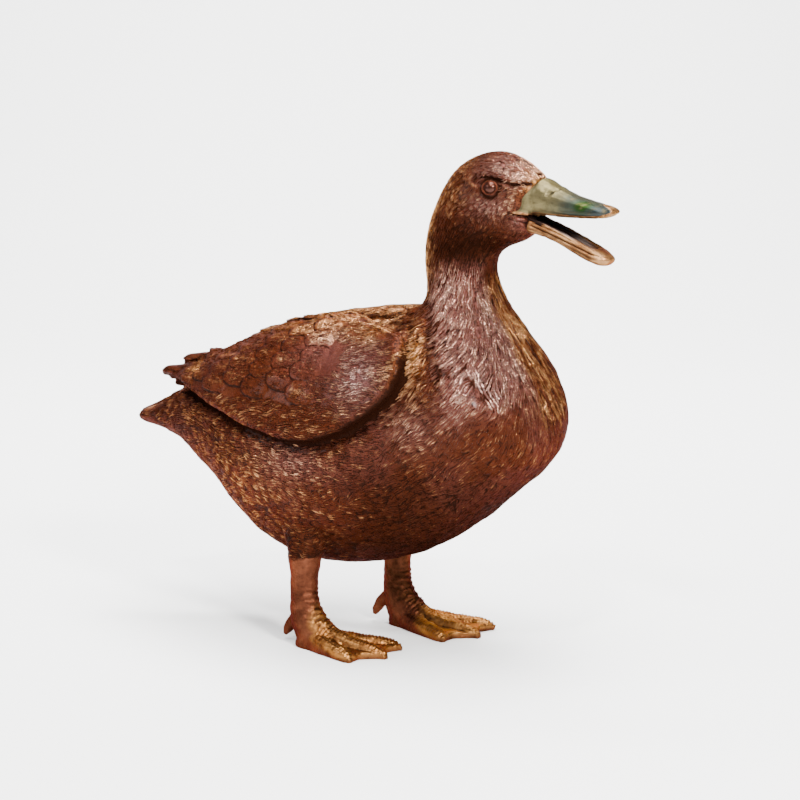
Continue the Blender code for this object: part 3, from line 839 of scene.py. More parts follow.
def add_strokes(name, found, material, tone=0.0):
    """Combed strokes as one piece: thin solid ridges, lying half in the skin, that rise to their ends."""
    form, corners = spindle_form()
    count = len(found["start"])
    share = ((1 - form[:, 2]) / 2)[None, :, None]
    start, end = found["start"][:, None, :], found["end"][:, None, :]
    control = 2 * found["middle"][:, None, :] - (start + end) / 2
    line = start * (1 - share) ** 2 + control * 2 * share * (1 - share) + end * share**2
    out = found["out"][:, None, :] * (1 - share) + found["end_out"][:, None, :] * share
    along = found["end"] - found["start"]
    across = np.cross(found["out"], along)
    across /= np.maximum(np.linalg.norm(across, axis=1), FINEST)[:, None]
    width = found["width"][:, None]
    sideways = form[:, 0][None, :] * width * 0.50
    rise = form[:, 1][None, :] * width * 0.46 + found["lift"][:, None] * share[:, :, 0] ** 2
    points = line + across[:, None, :] * sideways[:, :, None] + out * rise[:, :, None]
    faces = (corners[None] + np.arange(count)[:, None, None] * len(form)).reshape(-1, 3)
    patch = np.stack([form[:, 0], form[:, 2]], axis=1) * BAKE_PATCH / 2
    spots = (unwrapped(found["start"])[:, None, :] + patch[None]).reshape(-1, 2)
    flat = points.reshape(-1, 3)
    # Relief of each corner: low at the stroke's foot and sides, high on its top and lifted end; the finish
    # turns it into painted shade and painted highlight
    crest = np.tile(0.34 + 0.42 * form[:, 1] + 0.24 * share[0, :, 0], count)
    shift = rng.normal(tone, 0.035, found["owner"].max() + 1)[found["owner"]] + rng.normal(0, 0.06, count)
    relief = crest + np.repeat(shift, len(form))
    painted = {key: np.repeat(value, len(form)) for key, value in paint_body(found["start"]).items()}
    gather(name, flat, faces, material, spots, relief=relief, **painted)


# Tufts by place along the comb rings: place, length, width, stroke width, waviness of the lie
TUFTS = np.array((
    (0.0, 0.0110, 0.0060, 0.00145, 0.20), (3.0, 0.0095, 0.0060, 0.00142, 0.42),
    (8.0, 0.0090, 0.0062, 0.00138, 0.55), (10.6, 0.0100, 0.0062, 0.00132, 0.40),
    (11.6, 0.0150, 0.0052, 0.00124, 0.14), (14.5, 0.0190, 0.0044, 0.00108, 0.06),
    (16.0, 0.0150, 0.0042, 0.00108, 0.10), (17.5, 0.0085, 0.0038, 0.00110, 0.30),
    (19.0, 0.0056, 0.0034, 0.00110, 0.50), (24.0, 0.0042, 0.0027, 0.00092, 0.45),
))
# Coat pieces of the body: name, first and last place, and how far apart the tufts stand
COAT = (
    ("tail_and_rump", 0.0, 4.3, 0.0048), ("flanks", 4.3, 6.2, 0.0045),
    ("belly_and_back", 6.2, 7.8, 0.0044), ("shoulders", 7.8, 9.3, 0.0044),
    ("lower_breast", 9.3, 11.6, 0.0045), ("upper_breast", 11.6, 13.4, 0.0044),
    ("neck", 13.4, 17.0, 0.0041), ("hind_head", 17.0, 20.4, 0.0036), ("face", 20.4, 25.0, 0.0024),
)


def comb_body(skin, surface, material):
    """Tufts of combed strokes over the body."""
    points = points_of(skin.data)
    place = ring_place(points)
    free = ~bare_place(points)
    for name, low, high, apart in COAT:
        roots, normals = spread_over(skin, free & (place >= low) & (place < high), apart)
        values = ring_value(np.interp(ring_place(roots), TUFTS[:, 0], np.arange(len(TUFTS))), TUFTS)
        wave = cloud(roots, 0.020, 5) + 0.6 * cloud(roots, 0.008, 15)
        lies = turned(comb_lie(roots, normals), normals, values[:, 4] * 1.5 * wave)
        size = rng.uniform(0.8, 1.2, len(roots))
        lift = values[:, 1] * rng.uniform(0.02, 0.06, len(roots))
        found = tuft_strokes(surface, roots, normals, lies, values[:, 1] * size, values[:, 2] * size,
                             values[:, 3], lift)
        add_strokes(f"plumage_{name}", found, material)


def comb_folds(skin, surface, material):
    """The patch of painted sheen on the breast: thick upright folds that wave and run together."""
    roots, normals = spread_over(skin, folded_patch(points_of(skin.data)) > 0.40, 0.0072)
    many = len(roots)
    lies = turned(np.tile((0.0, 0.0, -1.0), (many, 1)), normals, cloud(roots, 0.009, 23) * 1.1 + 0.15)
    found = tuft_strokes(surface, roots, normals, lies, rng.uniform(0.010, 0.017, many),
                         np.full(many, 0.0062), np.full(many, 0.0023), np.full(many, 0.0001))
    add_strokes("breast_folds", found, material, 0.10)


def bill_edge(z):
    """Where the plumage ends and the bill begins, for each height."""
    return np.interp(z, [0.330, 0.338, 0.340, 0.346, 0.352, 0.358, 0.364, 0.368, 0.374],
                     [0.163, 0.160, 0.147, 0.1545, 0.1550, 0.1600, 0.1665, 0.1725, 0.176])


def bare_place(points):
    """Places with no combed strokes: the wings, the eyes, the bill's base, the folded patch and the legs."""
    x, y, z = points.T
    eye = eye_centre(-1)
    around_eye = (np.hypot((x - eye.x) / 1.05, z - eye.z) < 0.0078) & (z > 0.34)
    beyond = (x > bill_edge(z) - 0.001) & (z > 0.325) & (x > 0.14)
    corner = (z > 0.327) & (z < 0.342) & (x > 0.1555)
    brow = (distance_to_path(points[:, [0, 2]], BROW)[0] < 0.0012) & (z > 0.35) & (np.abs(y) > 0.008)
    leg = (z < 0.072) & (np.abs(np.abs(y) - 0.05) < 0.024) & (np.abs(x) < 0.045)
    reach = 0.0190 + 0.004 * cloud(points, 0.006, 31) - smoothstep(0.062, 0.072, z) * 0.010
    shank = leg & (np.hypot(x - np.where(y < 0, -0.014, 0.0045), np.abs(y) - 0.05) < reach)
    patch = folded_patch(points) + 0.2 * cloud(points, 0.006, 77) > 0.50
    edge = (wing_depth(points) > 0.001) | (wing_trough(points) > 0.45) | (cord_gap(points) < 0.0022)
    return edge | around_eye | beyond | corner | brow | shank | patch


# ---------- the wings ----------

def laid(toward, normal):
    """The direction toward, laid flat on a surface with that normal."""
    return (toward - normal * toward.dot(normal)).normalized()


def wing_spot(surface, x, turn, sign):
    """The outermost (point, normal) at x and at a turn up from the side."""
    out = Vector((0, sign * math.cos(turn), math.sin(turn)))
    point, normal, _, _ = surface.ray_cast(Vector((x, sign * 0.004, 0.178)) + out * 0.15, -out)
    return point, normal


def comb_wing(skin, surface, side, material):
    """Short wavy strokes on the wing's shoulder, longer ones along its lower rim."""
    name, sign = side
    points = points_of(skin.data)
    depth = wing_depth(points)
    x, y, z = points.T
    ragged = cloud(points, 0.016, 8)
    front = x + ragged * 0.016 > 0.040 - 0.024 * smoothstep(0.229, 0.214, z)
    top = (z + ragged * 0.006 > 0.2420) & (x > -0.012)
    rim = (z + ragged * 0.008 < 0.1970) & (x > -0.135)
    inside = (depth > 0.0012) & (y * sign > 0) & (cord_gap(points) > 0.0022)
    roots, normals = spread_over(skin, inside & (front | top | rim), 0.0044)
    wave = cloud(roots, 0.016, 21) * 0.75 + cloud(roots, 0.006, 4) * 0.12
    lies = turned(np.tile((-1.0, 0.0, -0.06), (len(roots), 1)), normals, wave)
    low_front = smoothstep(0.205, 0.190, roots[:, 2]) * smoothstep(0.0, 0.03, roots[:, 0])
    lengths = rng.uniform(0.0080, 0.0120, len(roots)) + 0.005 * low_front
    widths = np.full(len(roots), 0.0048)
    found = tuft_strokes(surface, roots, normals, lies, lengths, widths, 0.00170 - 0.0004 * low_front,
                         np.full(len(roots), 0.0001))
    add_strokes(f"wing_shoulder_{name}", found, material, 0.03)


def lay_cord(surface, side, material):
    """The fine cord along the folded wing's upper and front edge: strokes that overlap end to end."""
    name, sign = side
    path = np.array(CORD) * (1, sign, 1)
    walked = np.concatenate([[0], np.cumsum(np.linalg.norm(np.diff(path, axis=0), axis=1))])
    starts = np.arange(0, walked[-1] - 0.007, 0.0020)
    many = len(starts)
    found = {"owner": np.arange(many), "width": np.full(many, 0.0017), "lift": np.zeros(many)}
    for key, ahead in (("start", 0.0), ("middle", 0.0035), ("end", 0.007)):
        line = np.stack([np.interp(starts + ahead, walked, path[:, axis]) for axis in range(3)], axis=1)
        found[key], found["end_out" if ahead else "out"] = on_surface(surface, line)
    add_strokes(f"wing_cord_{name}", found, material, 0.04)


def vane_form():
    """A feather's vane on a unit square: (across, along, layer) of each corner, and its triangles."""
    shape = bmesh.new()
    bmesh.ops.create_grid(shape, x_segments=8, y_segments=10, size=0.5)
    bmesh.ops.solidify(shape, geom=shape.faces[:], thickness=0.1)
    bmesh.ops.triangulate(shape, faces=shape.faces)
    bmesh.ops.recalc_face_normals(shape, faces=shape.faces)
    corners = np.array([vert.co for vert in shape.verts])
    layer = (corners[:, 2] > corners[:, 2].mean()).astype(float)
    form = np.stack([corners[:, 0], corners[:, 1] + 0.5, layer], axis=1)
    faces = np.array([[vert.index for vert in face.verts] for face in shape.faces])
    shape.free()
    return form, faces


def add_vanes(name, surface, feathers, material):
    """Overlapping feathers as one piece. A feather is (root, lie, normal, length, width, lift)."""
    form, corners = vane_form()
    across, along, layer = form.T
    rounding = np.clip(1 - np.clip((along - 0.55) / 0.45, 0, 1) ** ROUND_END, 0, 1) ** 0.5
    outline = (0.78 + 0.22 * np.clip(along / 0.4, 0, 1)) * np.maximum(rounding, 0.14)
    arch = 1 - (2 * across) ** 2
    shaft = bell(across, 0.07)
    points, spots, relief = [], [], []
    for root, lie, normal, length, width, lift in feathers:
        sideways = normal.cross(lie).normalized()
        barbs = 0.00016 * np.sin((along * length - np.abs(across) * width * 1.2) / 0.00042)
        sunk = -0.0007 - 0.0014 * smoothstep(0.30, 0.0, along)
        rises = sunk + layer * (lift * along**1.5 + 0.0004 + 0.0006 * arch + 0.0002 * shaft + barbs)
        for u, v, wide, rise in zip(across, along, outline, rises):
            near, out, _, _ = surface.find_nearest(root + lie * (v * length) + sideways * (u * wide * width)
                                                   + normal * 0.003)
            points.append(near + out * rise)
        spot = unwrapped(np.array([root]))[0]
        spots.append(spot + np.stack([across, along - 0.5], axis=1) * BAKE_PATCH)
        # Painted shade: dark along each feather's edges and end, as shade between overlapping feathers
        edge = smoothstep(0.34, 0.5, np.abs(across)) + smoothstep(0.86, 1.0, along) * 0.9
        tone = 0.47 + 0.14 * layer + 0.08 * shaft * layer + 0.14 * along - 0.66 * np.clip(edge, 0, 1)
        relief.append(np.clip(tone + rng.normal(0, 0.05), 0, 1))
    faces = (corners[None] + np.arange(len(feathers))[:, None, None] * len(form)).reshape(-1, 3)
    points = np.array([tuple(point) for point in points])
    gather(name, points, faces, material, np.vstack(spots), relief=np.concatenate(relief),
           **paint_body(points))


def add_barbs(name, surface, feathers, material):
    """Fine wavy strokes on the feathers' vanes, each well inside its own feather's outline."""
    rows = {key: [] for key in ("start", "middle", "end", "out", "end_out", "owner", "width", "lift")}
    for owner, (root, lie, normal, length, width, lift) in enumerate(feathers):
        sideways = normal.cross(lie).normalized()
        for _ in range(int(length * width / BARB_DENSITY)):
            u = rng.uniform(-0.36, 0.36)
            last = 0.92 - 0.55 * abs(u) ** 1.5
            v = rng.uniform(0.26, last - 0.10)
            reach = min(rng.uniform(0.0035, 0.0065) / length, last - v)
            drift = rng.normal(0, 0.035)
            found = []
            for across, along in ((u, v), (u * 1.03 + drift, v + reach / 2), (u * 1.06, v + reach)):
                spot = root + lie * (along * length) + sideways * (across * width) + normal * 0.003
                near, out, _, _ = surface.find_nearest(spot)
                rise = -0.0003 + lift * along**1.5 + 0.0006 * (1 - (2 * across) ** 2)
                found.append((near + out * rise, out))
            values = (found[0][0], found[1][0], found[2][0], found[0][1], found[2][1], owner,
                      rng.uniform(0.0013, 0.0017), 0.0)
            for key, value in zip(rows, values):
                rows[key].append(value)
    add_strokes(name, {key: np.array(values) for key, values in rows.items()}, material, -0.02)


def wing_feathers(surface, side, material):
    """Rows of overlapping feathers on the rear of the folded wing, longer towards its tip."""
    name, sign = side
    tip = Vector((-0.225, sign * 0.010, 0.201))
    feathers = []
    x, row = -0.114, 0
    while x < 0.040:
        width = float(np.interp(x, (-0.13, -0.10, -0.05, 0.02), (0.0115, 0.0140, 0.0175, 0.0180)))
        length = float(np.interp(x, (-0.13, -0.10, -0.05, 0.02), (0.034, 0.038, 0.040, 0.034)))
        walked, last, due = 0.0, None, width * (0.2 + 0.5 * (row % 2))
        for turn in np.radians(np.arange(-40, 89, 0.5)):
            root, normal = wing_spot(surface, x, turn, sign)
            if root is None:
                continue
            if wing_depth(np.array([root]))[0] < 0.0035 or (x > -0.12 and root.z < 0.199):
                last = None
                continue
            walked += (root - last).length if last else 0.0
            last = root
            if walked >= due:
                due += width * 0.92
                lie = laid((tip - root).normalized(), normal)
                feathers.append((root, lie, normal, length * rng.uniform(0.92, 1.08), width * 1.16,
                                 0.0022 * rng.uniform(0.8, 1.3)))
        x += length * 0.62
        row += 1
    add_barbs(f"wing_barbs_{name}", surface, feathers, material)
    for x, y, length in ((-0.008, 0.030, 0.044), (-0.036, 0.028, 0.048), (-0.080, 0.024, 0.053)):
        root, normal, _, _ = surface.ray_cast(Vector((x, sign * y, 0.4)), Vector((0, 0, -1)))
        lie = laid((tip - root).normalized(), normal)
        feathers.append((root, lie, normal, length, 0.015, 0.0025))
    add_vanes(f"wing_feathers_{name}", surface, feathers, material)


def flight_feathers(side, material):
    """The blunt ends of the flight feathers, which run out behind the folded wing."""
    name, sign = side
    shape = copy_of((f"wing_{name}",))
    cut_off(shape, (-0.128, 0, 0), (-1, 0, 0))
    for start, end, thick in (((-0.112, 0.027, 0.2190), (-0.1625, 0.0190, 0.2112), 0.0034),
                              ((-0.140, 0.026, 0.2050), (-0.1845, 0.0190, 0.1998), 0.0040)):
        finger = bmesh.ops.create_uvsphere(shape, u_segments=24, v_segments=24, radius=1.0)["verts"]
        for vert in finger:
            t = vert.co.z
            full = (1 - abs(t) ** 5) ** 0.5 / max((1 - t * t) ** 0.5, 1e-3)
            centre = Vector(start).lerp(Vector(end), 0.5 + 0.5 * t)
            vert.co = centre + Vector((0, vert.co.x * full * 0.0066, vert.co.y * full * thick))
            vert.co.y *= sign
    bmesh.ops.recalc_face_normals(shape, faces=shape.faces)
    mesh = recast("flight_form", shape, 0.0008, 5)
    points, normals = points_of(mesh), normals_of(mesh)
    grooves = np.sin(points[:, 2] / 0.00065 + points[:, 0] * 60)
    points += normals * (0.0002 * grooves * smoothstep(-0.13, -0.16, points[:, 0]))[:, None]
    set_points(mesh, points)
    feathers = link(f"flight_feathers_{name}", mesh, material)
    relief = 0.55 + 0.12 * grooves + 0.1 * cloud(points, 0.004, 6)
    paint_layers(mesh, relief=relief, **paint_body(points))
    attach(feathers, "root")
    return feathers


def tail_feathers(surface, material):
    """The fan of tail feathers, above and below, with a row of coverts over their roots."""
    feathers = []
    rows = ((-0.178, 7, 0.0095, 0.052, 0.0120), (-0.163, 7, 0.0125, 0.030, 0.0140))
    for above in (1, -1):
        for ahead, many, spread, length, width in rows:
            for number in range(many):
                y = (number - (many - 1) / 2) * spread
                root, normal, _, _ = surface.ray_cast(Vector((ahead + abs(y) * 0.25, y, 0.17 + 0.2 * above)),
                                                      Vector((0, 0, -above)))
                if root is None or root.z > 0.199:
                    continue
                lie = laid(Vector((-1, -y * 9, -0.28 if above > 0 else 0.35)).normalized(), normal)
                feathers.append((root, lie, normal, length - abs(y) * 0.3, width, 0.0009))
    add_vanes("tail_feathers", surface, feathers, material)


# ---------- head, bill and feet ----------

def eye_centre(sign):
    low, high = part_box("eye_left" if sign > 0 else "eye_right")
    return (low + high) / 2


def make_eye(side, material):
    """A polished ball in the lids."""
    name, _ = side
    low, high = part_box(f"eye_{name}")
    shape = bmesh.new()
    bmesh.ops.create_uvsphere(shape, u_segments=40, v_segments=24, radius=(high.z - low.z) / 2)
    bmesh.ops.translate(shape, verts=shape.verts, vec=(low + high) / 2)
    eye = put(f"eyeball_{name}", shape, material)
    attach(eye, "root")
    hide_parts(f"eye_{name}")


def make_lids(side, material):
    """The ringed eyelid, thicker above, drawn out to a small corner before and behind the eye."""
    name, sign = side
    radius, thickness = 0.0051, 0.00070
    shape = bmesh.new()
    bmesh.ops.create_circle(shape, segments=14, radius=thickness)
    loop = shape.edges[:]
    bmesh.ops.rotate(shape, verts=shape.verts, matrix=Matrix.Rotation(math.pi / 2, 3, "X"))
    bmesh.ops.translate(shape, verts=shape.verts, vec=(radius, 0, 0))
    bmesh.ops.spin(shape, geom=loop, cent=(0, 0, 0), axis=(0, 0, 1), angle=math.tau, steps=64, use_merge=True)
    for vert in shape.verts:
        angle = math.atan2(vert.co.y, vert.co.x)
        middle = Vector((vert.co.x, vert.co.y, 0)).normalized() * radius
        vert.co = middle + (vert.co - middle) * (1.0 + 0.22 * math.sin(angle) + 0.12 * math.cos(2 * angle))
        vert.co.x *= 1.07 + 0.05 * math.cos(angle) ** 4
        vert.co.y *= 0.96
    upright = Matrix(((1, 0, 0), (0, 0, sign), (0, 1, 0)))
    bmesh.ops.transform(shape, matrix=upright.to_4x4(), verts=shape.verts)
    tilt = Matrix.Rotation(sign * math.radians(-9), 3, "Z") @ Matrix.Rotation(sign * math.radians(12), 3, "X")
    bmesh.ops.rotate(shape, verts=shape.verts, matrix=tilt)
    bmesh.ops.translate(shape, verts=shape.verts, vec=eye_centre(sign) + Vector((0, sign * 0.0027, 0)))
    bmesh.ops.recalc_face_normals(shape, faces=shape.faces)
    lids = put(f"eyelids_{name}", shape, material)
    # A little painted sheen on the lids, and no painted shade
    for layer, value in (("relief", 0.52), ("warm", 0.2), ("painted_sheen", 0.1), ("shade", 0.0)):
        paint(lids.data, layer, np.full(len(lids.data.vertices), value))
    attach(lids, "root")


def side_prism(outline, half):
    """A closed bmesh: an outline of the side view, run across the middle plane."""
    shape = bmesh.new()
    face = shape.faces.new([shape.verts.new((x, -half, z)) for x, z in outline])
    run = bmesh.ops.extrude_face_region(shape, geom=[face])
    moved = [item for item in run["geom"] if isinstance(item, bmesh.types.BMVert)]
    bmesh.ops.translate(shape, verts=moved, vec=(0, 2 * half, 0))
    bmesh.ops.recalc_face_normals(shape, faces=shape.faces)
    return shape


# The bare base of the upper bill on the side of the head (x, z), from its top down and forward
BILL_BASE = (
    (0.1760, 0.3710), (0.1665, 0.3640), (0.1605, 0.3580), (0.1565, 0.3520), (0.1560, 0.3465),
    (0.1545, 0.3435), (0.1490, 0.3420), (0.1490, 0.3406), (0.1580, 0.3396), (0.1800, 0.3390),
    (0.1800, 0.3710),
)


def bill_with_base():
    """The upper bill's form, with the part of the head's side that it sheathes."""
    head = put("base_form", copy_of(("head",)))
    cutter = put("base_cutter", side_prism(BILL_BASE, 0.04))
    step = head.modifiers.new("base", "BOOLEAN")
    step.operation = "INTERSECT"
    step.solver = "EXACT"
    step.object = cutter
    base = evaluated(head)
    bpy.data.objects.remove(head)
    bpy.data.objects.remove(cutter)
    shape = copy_of(("bill_upper",))
    shape.from_mesh(base)
    mesh = recast("bill_form", shape, 0.0006, 7)
    shape = bmesh.new()
    shape.from_mesh(mesh)
    sides = [vert for vert in shape.verts if vert.co.x < 0.170 and vert.co.z > 0.3405]
    tip = [vert for vert in shape.verts if vert.co.x > 0.2150]
    for turn in range(36):
        for area in (sides, tip) if turn < 12 else (sides,):
            soften(shape, area)
    shape.to_mesh(mesh)
    shape.free()
    return mesh


def make_upper_bill(material):
    """The upper bill: nostrils, rolled copper rim and a nail at the tip."""
    mesh = bill_with_base()
    points, normals = points_of(mesh), normals_of(mesh)
    low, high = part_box("bill_upper")
    x, y, z = points.T
    forward = (x - low.x) / (high.x - low.x)
    ahead, above = x - 0.1775, z - 0.3560
    slant = math.radians(32)
    long_way = ahead * math.cos(slant) + above * math.sin(slant)
    short_way = -ahead * math.sin(slant) + above * math.cos(slant)
    nostril = np.hypot(long_way / 0.0042, short_way / 0.0023)
    outer = (normals[:, 2] > -0.3) & (np.abs(y) > 0.003)
    move = outer * (-0.0015 * bell(nostril, 0.55) + 0.00045 * bell(nostril - 1.05, 0.26))
    bins = np.clip(((x - x.min()) / (x.max() - x.min()) * BILL_BINS).astype(int), 0, BILL_BINS)
    lowest = np.full(BILL_BINS + 1, 1.0)
    np.minimum.at(lowest, bins, z)
    middles = x.min() + (np.arange(BILL_BINS + 1) + 0.5) / BILL_BINS * (x.max() - x.min())
    over_edge = z - np.interp(x, middles, lowest)
    rim = smoothstep(0.0030, 0.0014, over_edge)
    move += 0.0006 * rim * (normals[:, 2] > -0.6) * smoothstep(0.0, 0.4, forward)
    nail = smoothstep(1.0, 0.78, np.hypot((high.x - x) / 0.0115, y / 0.0070))
    nail = nail * smoothstep(-0.35, 0.0, normals[:, 2])
    move += 0.0006 * nail + 0.0004 * smoothstep(0.166, 0.158, x) + cloud(points, 0.006, 2) * 0.00025
    set_points(mesh, points + normals * move[:, None])
    bill = link("upper_bill", mesh, material)
    widest = np.zeros(BILL_BINS + 1)
    np.maximum.at(widest, bins, np.abs(y))
    under = (normals[:, 2] < -0.35) & (np.abs(y) < widest[bins] * 0.70)
    paint(mesh, "forward", forward)
    paint(mesh, "copper", rim * (0.80 + 0.3 * forward) + nail * 0.8 + under * 0.7)
    # Painted shade: dark in the nostril slot and in a line above the rim
    slot = bell(short_way + 0.0004, 0.0009) * smoothstep(0.0042, 0.0030, np.abs(long_way))
    above_rim = bell(over_edge - 0.0046, 0.0008) * 0.35
    paint(mesh, "groove", outer * (slot * 0.75 + above_rim))
    paint(mesh, "moss", 1.4 * bell(x - 0.2045, 0.0068, z - 0.3470, 0.0042) * (y < 0))
    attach(bill, "root")
    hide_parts("bill_upper")


def make_lower_bill(material):
    """The lower bill: a trough with lengthwise ridges and a rounded spoon tip."""
    mesh = recast("bill_form", copy_of(("bill_lower",)), 0.0006, 8)
    points, normals = points_of(mesh), normals_of(mesh)
    low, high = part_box("bill_lower")
    x, y, z = points.T
    forward = (x - low.x) / (high.x - low.x)
    rise = z - np.interp(forward, [0, 1], [0.332, 0.3075])
    outer = (normals[:, 2] < 0.55) * smoothstep(0.0, 0.10, forward) * smoothstep(0.97, 0.80, forward)
    groove = bell(rise - 0.0012, 0.0008) + 0.8 * bell(rise + 0.0022, 0.0008)
    groove += 0.6 * bell(rise - 0.0042, 0.0007)
    swell = bell(rise + 0.0004, 0.0012) + bell(rise - 0.0028, 0.0010)
    move = (0.0006 * swell - 0.0012 * groove) * outer
    collar = 0.0006 * smoothstep(0.08, 0.03, forward) * (normals[:, 2] < 0.6)
    move += collar + cloud(points, 0.005, 12) * 0.0003
    set_points(mesh, points + normals * move[:, None])
    bill = link("lower_bill", mesh, material)
    paint(mesh, "relief", 0.85 - groove * outer * 0.8)
    # Painted shade inside the lower bill towards the mouth's corner, lighter on the far wall
    inside = (normals[:, 2] > 0.1) & (np.abs(y) < 0.0098)
    inside = inside * smoothstep(0.46, 0.0, forward - 0.34 - 6 * y)
    paint(mesh, "inside", inside * (1 - 0.3 * smoothstep(0.004, 0.009, y)))
    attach(bill, "root")
    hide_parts("bill_lower")


def make_mouth(material):
    """A dark sheet between the two halves of the bill at the mouth's corners, painted nearly black as shade.
    """
    stations = (
        (0.1500, 0.3400, 0.0112), (0.1600, 0.3378, 0.0112), (0.1700, 0.3336, 0.0108),
        (0.1800, 0.3284, 0.0104), (0.1900, 0.3234, 0.0100), (0.2000, 0.3186, 0.0094),
    )
    shape = bmesh.new()
    bmesh.ops.create_grid(shape, x_segments=len(stations) - 1, y_segments=8, size=0.5)
    bmesh.ops.solidify(shape, geom=shape.faces[:], thickness=0.1)
    bmesh.ops.recalc_face_normals(shape, faces=shape.faces)
    heights = sorted({round(vert.co.z, 6) for vert in shape.verts})
    for vert in shape.verts:
        x, top, half = stations[round((vert.co.x + 0.5) * (len(stations) - 1))]
        sag = 0.0060 * (1 - (2 * vert.co.y) ** 4) * (x > 0.165)
        upper = round(vert.co.z, 6) == heights[-1]
        vert.co = Vector((x, 2 * half * vert.co.y, top - sag - (0.0 if upper else 0.0024)))
    bmesh.ops.recalc_face_normals(shape, faces=shape.faces)
    mouth = put("mouth_shade_lining", shape, material)
    paint(mouth.data, "relief", np.full(len(mouth.data.vertices), 0.4))
    # Painted shade over the whole lining
    paint(mouth.data, "inside", np.ones(len(mouth.data.vertices)))
    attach(mouth, "root")


def make_foot(side, material):
    """Shank and webbed foot: beaded scutes along the toes, creased webs, folds at the ankle."""
    name, sign = side
    mesh = recast("foot_form", copy_of((f"leg_{name}", f"foot_{name}")), 0.00085, 9)
    points, normals = points_of(mesh), normals_of(mesh)
    z = points[:, 2]
    leg = points_of(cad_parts[f"leg_{name}"].data)
    ankle = leg[leg[:, 2] < 0.036].mean(axis=0)[:2]
    turn = 0 if sign < 0 else math.radians(-4)
    flat = points[:, :2] - ankle
    flat = np.stack([flat[:, 0] * math.cos(-turn) - flat[:, 1] * math.sin(-turn),
                     flat[:, 0] * math.sin(-turn) + flat[:, 1] * math.cos(-turn)], axis=1)
    up = smoothstep(0.1, 0.6, normals[:, 2])
    ridges, beads, seams = np.zeros(len(points)), np.zeros(len(points)), np.zeros(len(points))
    jitter = cloud(points, 0.006, 44) * 1.6
    for spread in (-22.5, 0, 22.5):
        heading = np.array([math.cos(math.radians(spread)), math.sin(math.radians(spread))])
        along = flat @ heading
        off = flat @ np.array([-heading[1], heading[0]])
        near = bell(off, 0.0046) * smoothstep(0.006, 0.020, along)
        rows = 0.5 + 0.5 * np.cos(math.tau * off / 0.0026)
        bead = (0.5 + 0.5 * np.cos(math.tau * along / 0.0027 + jitter)) * (0.45 + 0.55 * rows)
        ridges = np.maximum(ridges, near)
        beads = np.maximum(beads, near * bead)
        seams = np.maximum(seams, bell(np.abs(off) - 0.0066, 0.0011) * smoothstep(0.014, 0.03, along))
    seams *= (1 - ridges) * up
    front = smoothstep(0.1, 0.7, normals[:, 0]) * smoothstep(0.056, 0.040, z) * smoothstep(0.014, 0.022, z)
    folds = (0.5 + 0.5 * np.cos(math.tau * (z + cloud(points, 0.007, 13) * 0.0022) / 0.0042)) * front
    wrinkles = cloud(points, 0.0035, 2)
    lumps = cloud(points, 0.010, 52)
    web = up * (1 - ridges) * smoothstep(0.02, 0.034, flat[:, 0]) * 0.0011
    move = up * beads * 0.0013 + web - seams * 0.0006
    move += folds * 0.0008 + wrinkles * 0.00035 + lumps * 0.0007
    above = smoothstep(0.0008, 0.003, z)
    tucked = 0.0016 * smoothstep(0.0700, 0.0740, z)
    set_points(mesh, points + normals * (move * above - tucked)[:, None])
    foot = link(f"leg_and_foot_{name}", mesh, material)
    relief = 0.62 + 0.40 * (beads - 0.5) * ridges * up - 0.34 * seams
    relief += 0.20 * wrinkles - 0.24 * (front - folds)
    # Painted shade: the far leg darker above the toes
    relief -= 0.26 * smoothstep(0.012, 0.026, z) * (sign > 0)
    paint(mesh, "relief", relief)
    # The far foot's gold starts further forward, as painted shade
    start = -0.001 if sign < 0 else 0.016
    gold = smoothstep(0.046, 0.020, z) * smoothstep(start, start + 0.019, flat[:, 0] + 0.40 * flat[:, 1])
    flank = smoothstep(0.55, 0.15, normals[:, 2]) * smoothstep(0.050, 0.030, flat[:, 0])
    flank *= smoothstep(0.020, 0.012, z)
    # Painted shade: less gold close to the floor, and on the far foot
    gold *= 0.35 + 0.65 * smoothstep(0.0010, 0.0060, z)
    paint(mesh, "gold", gold * (1 - 0.7 * flank) * (1.0 if sign < 0 else 0.85))
    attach(foot, "root")
    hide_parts(f"foot_{name}")


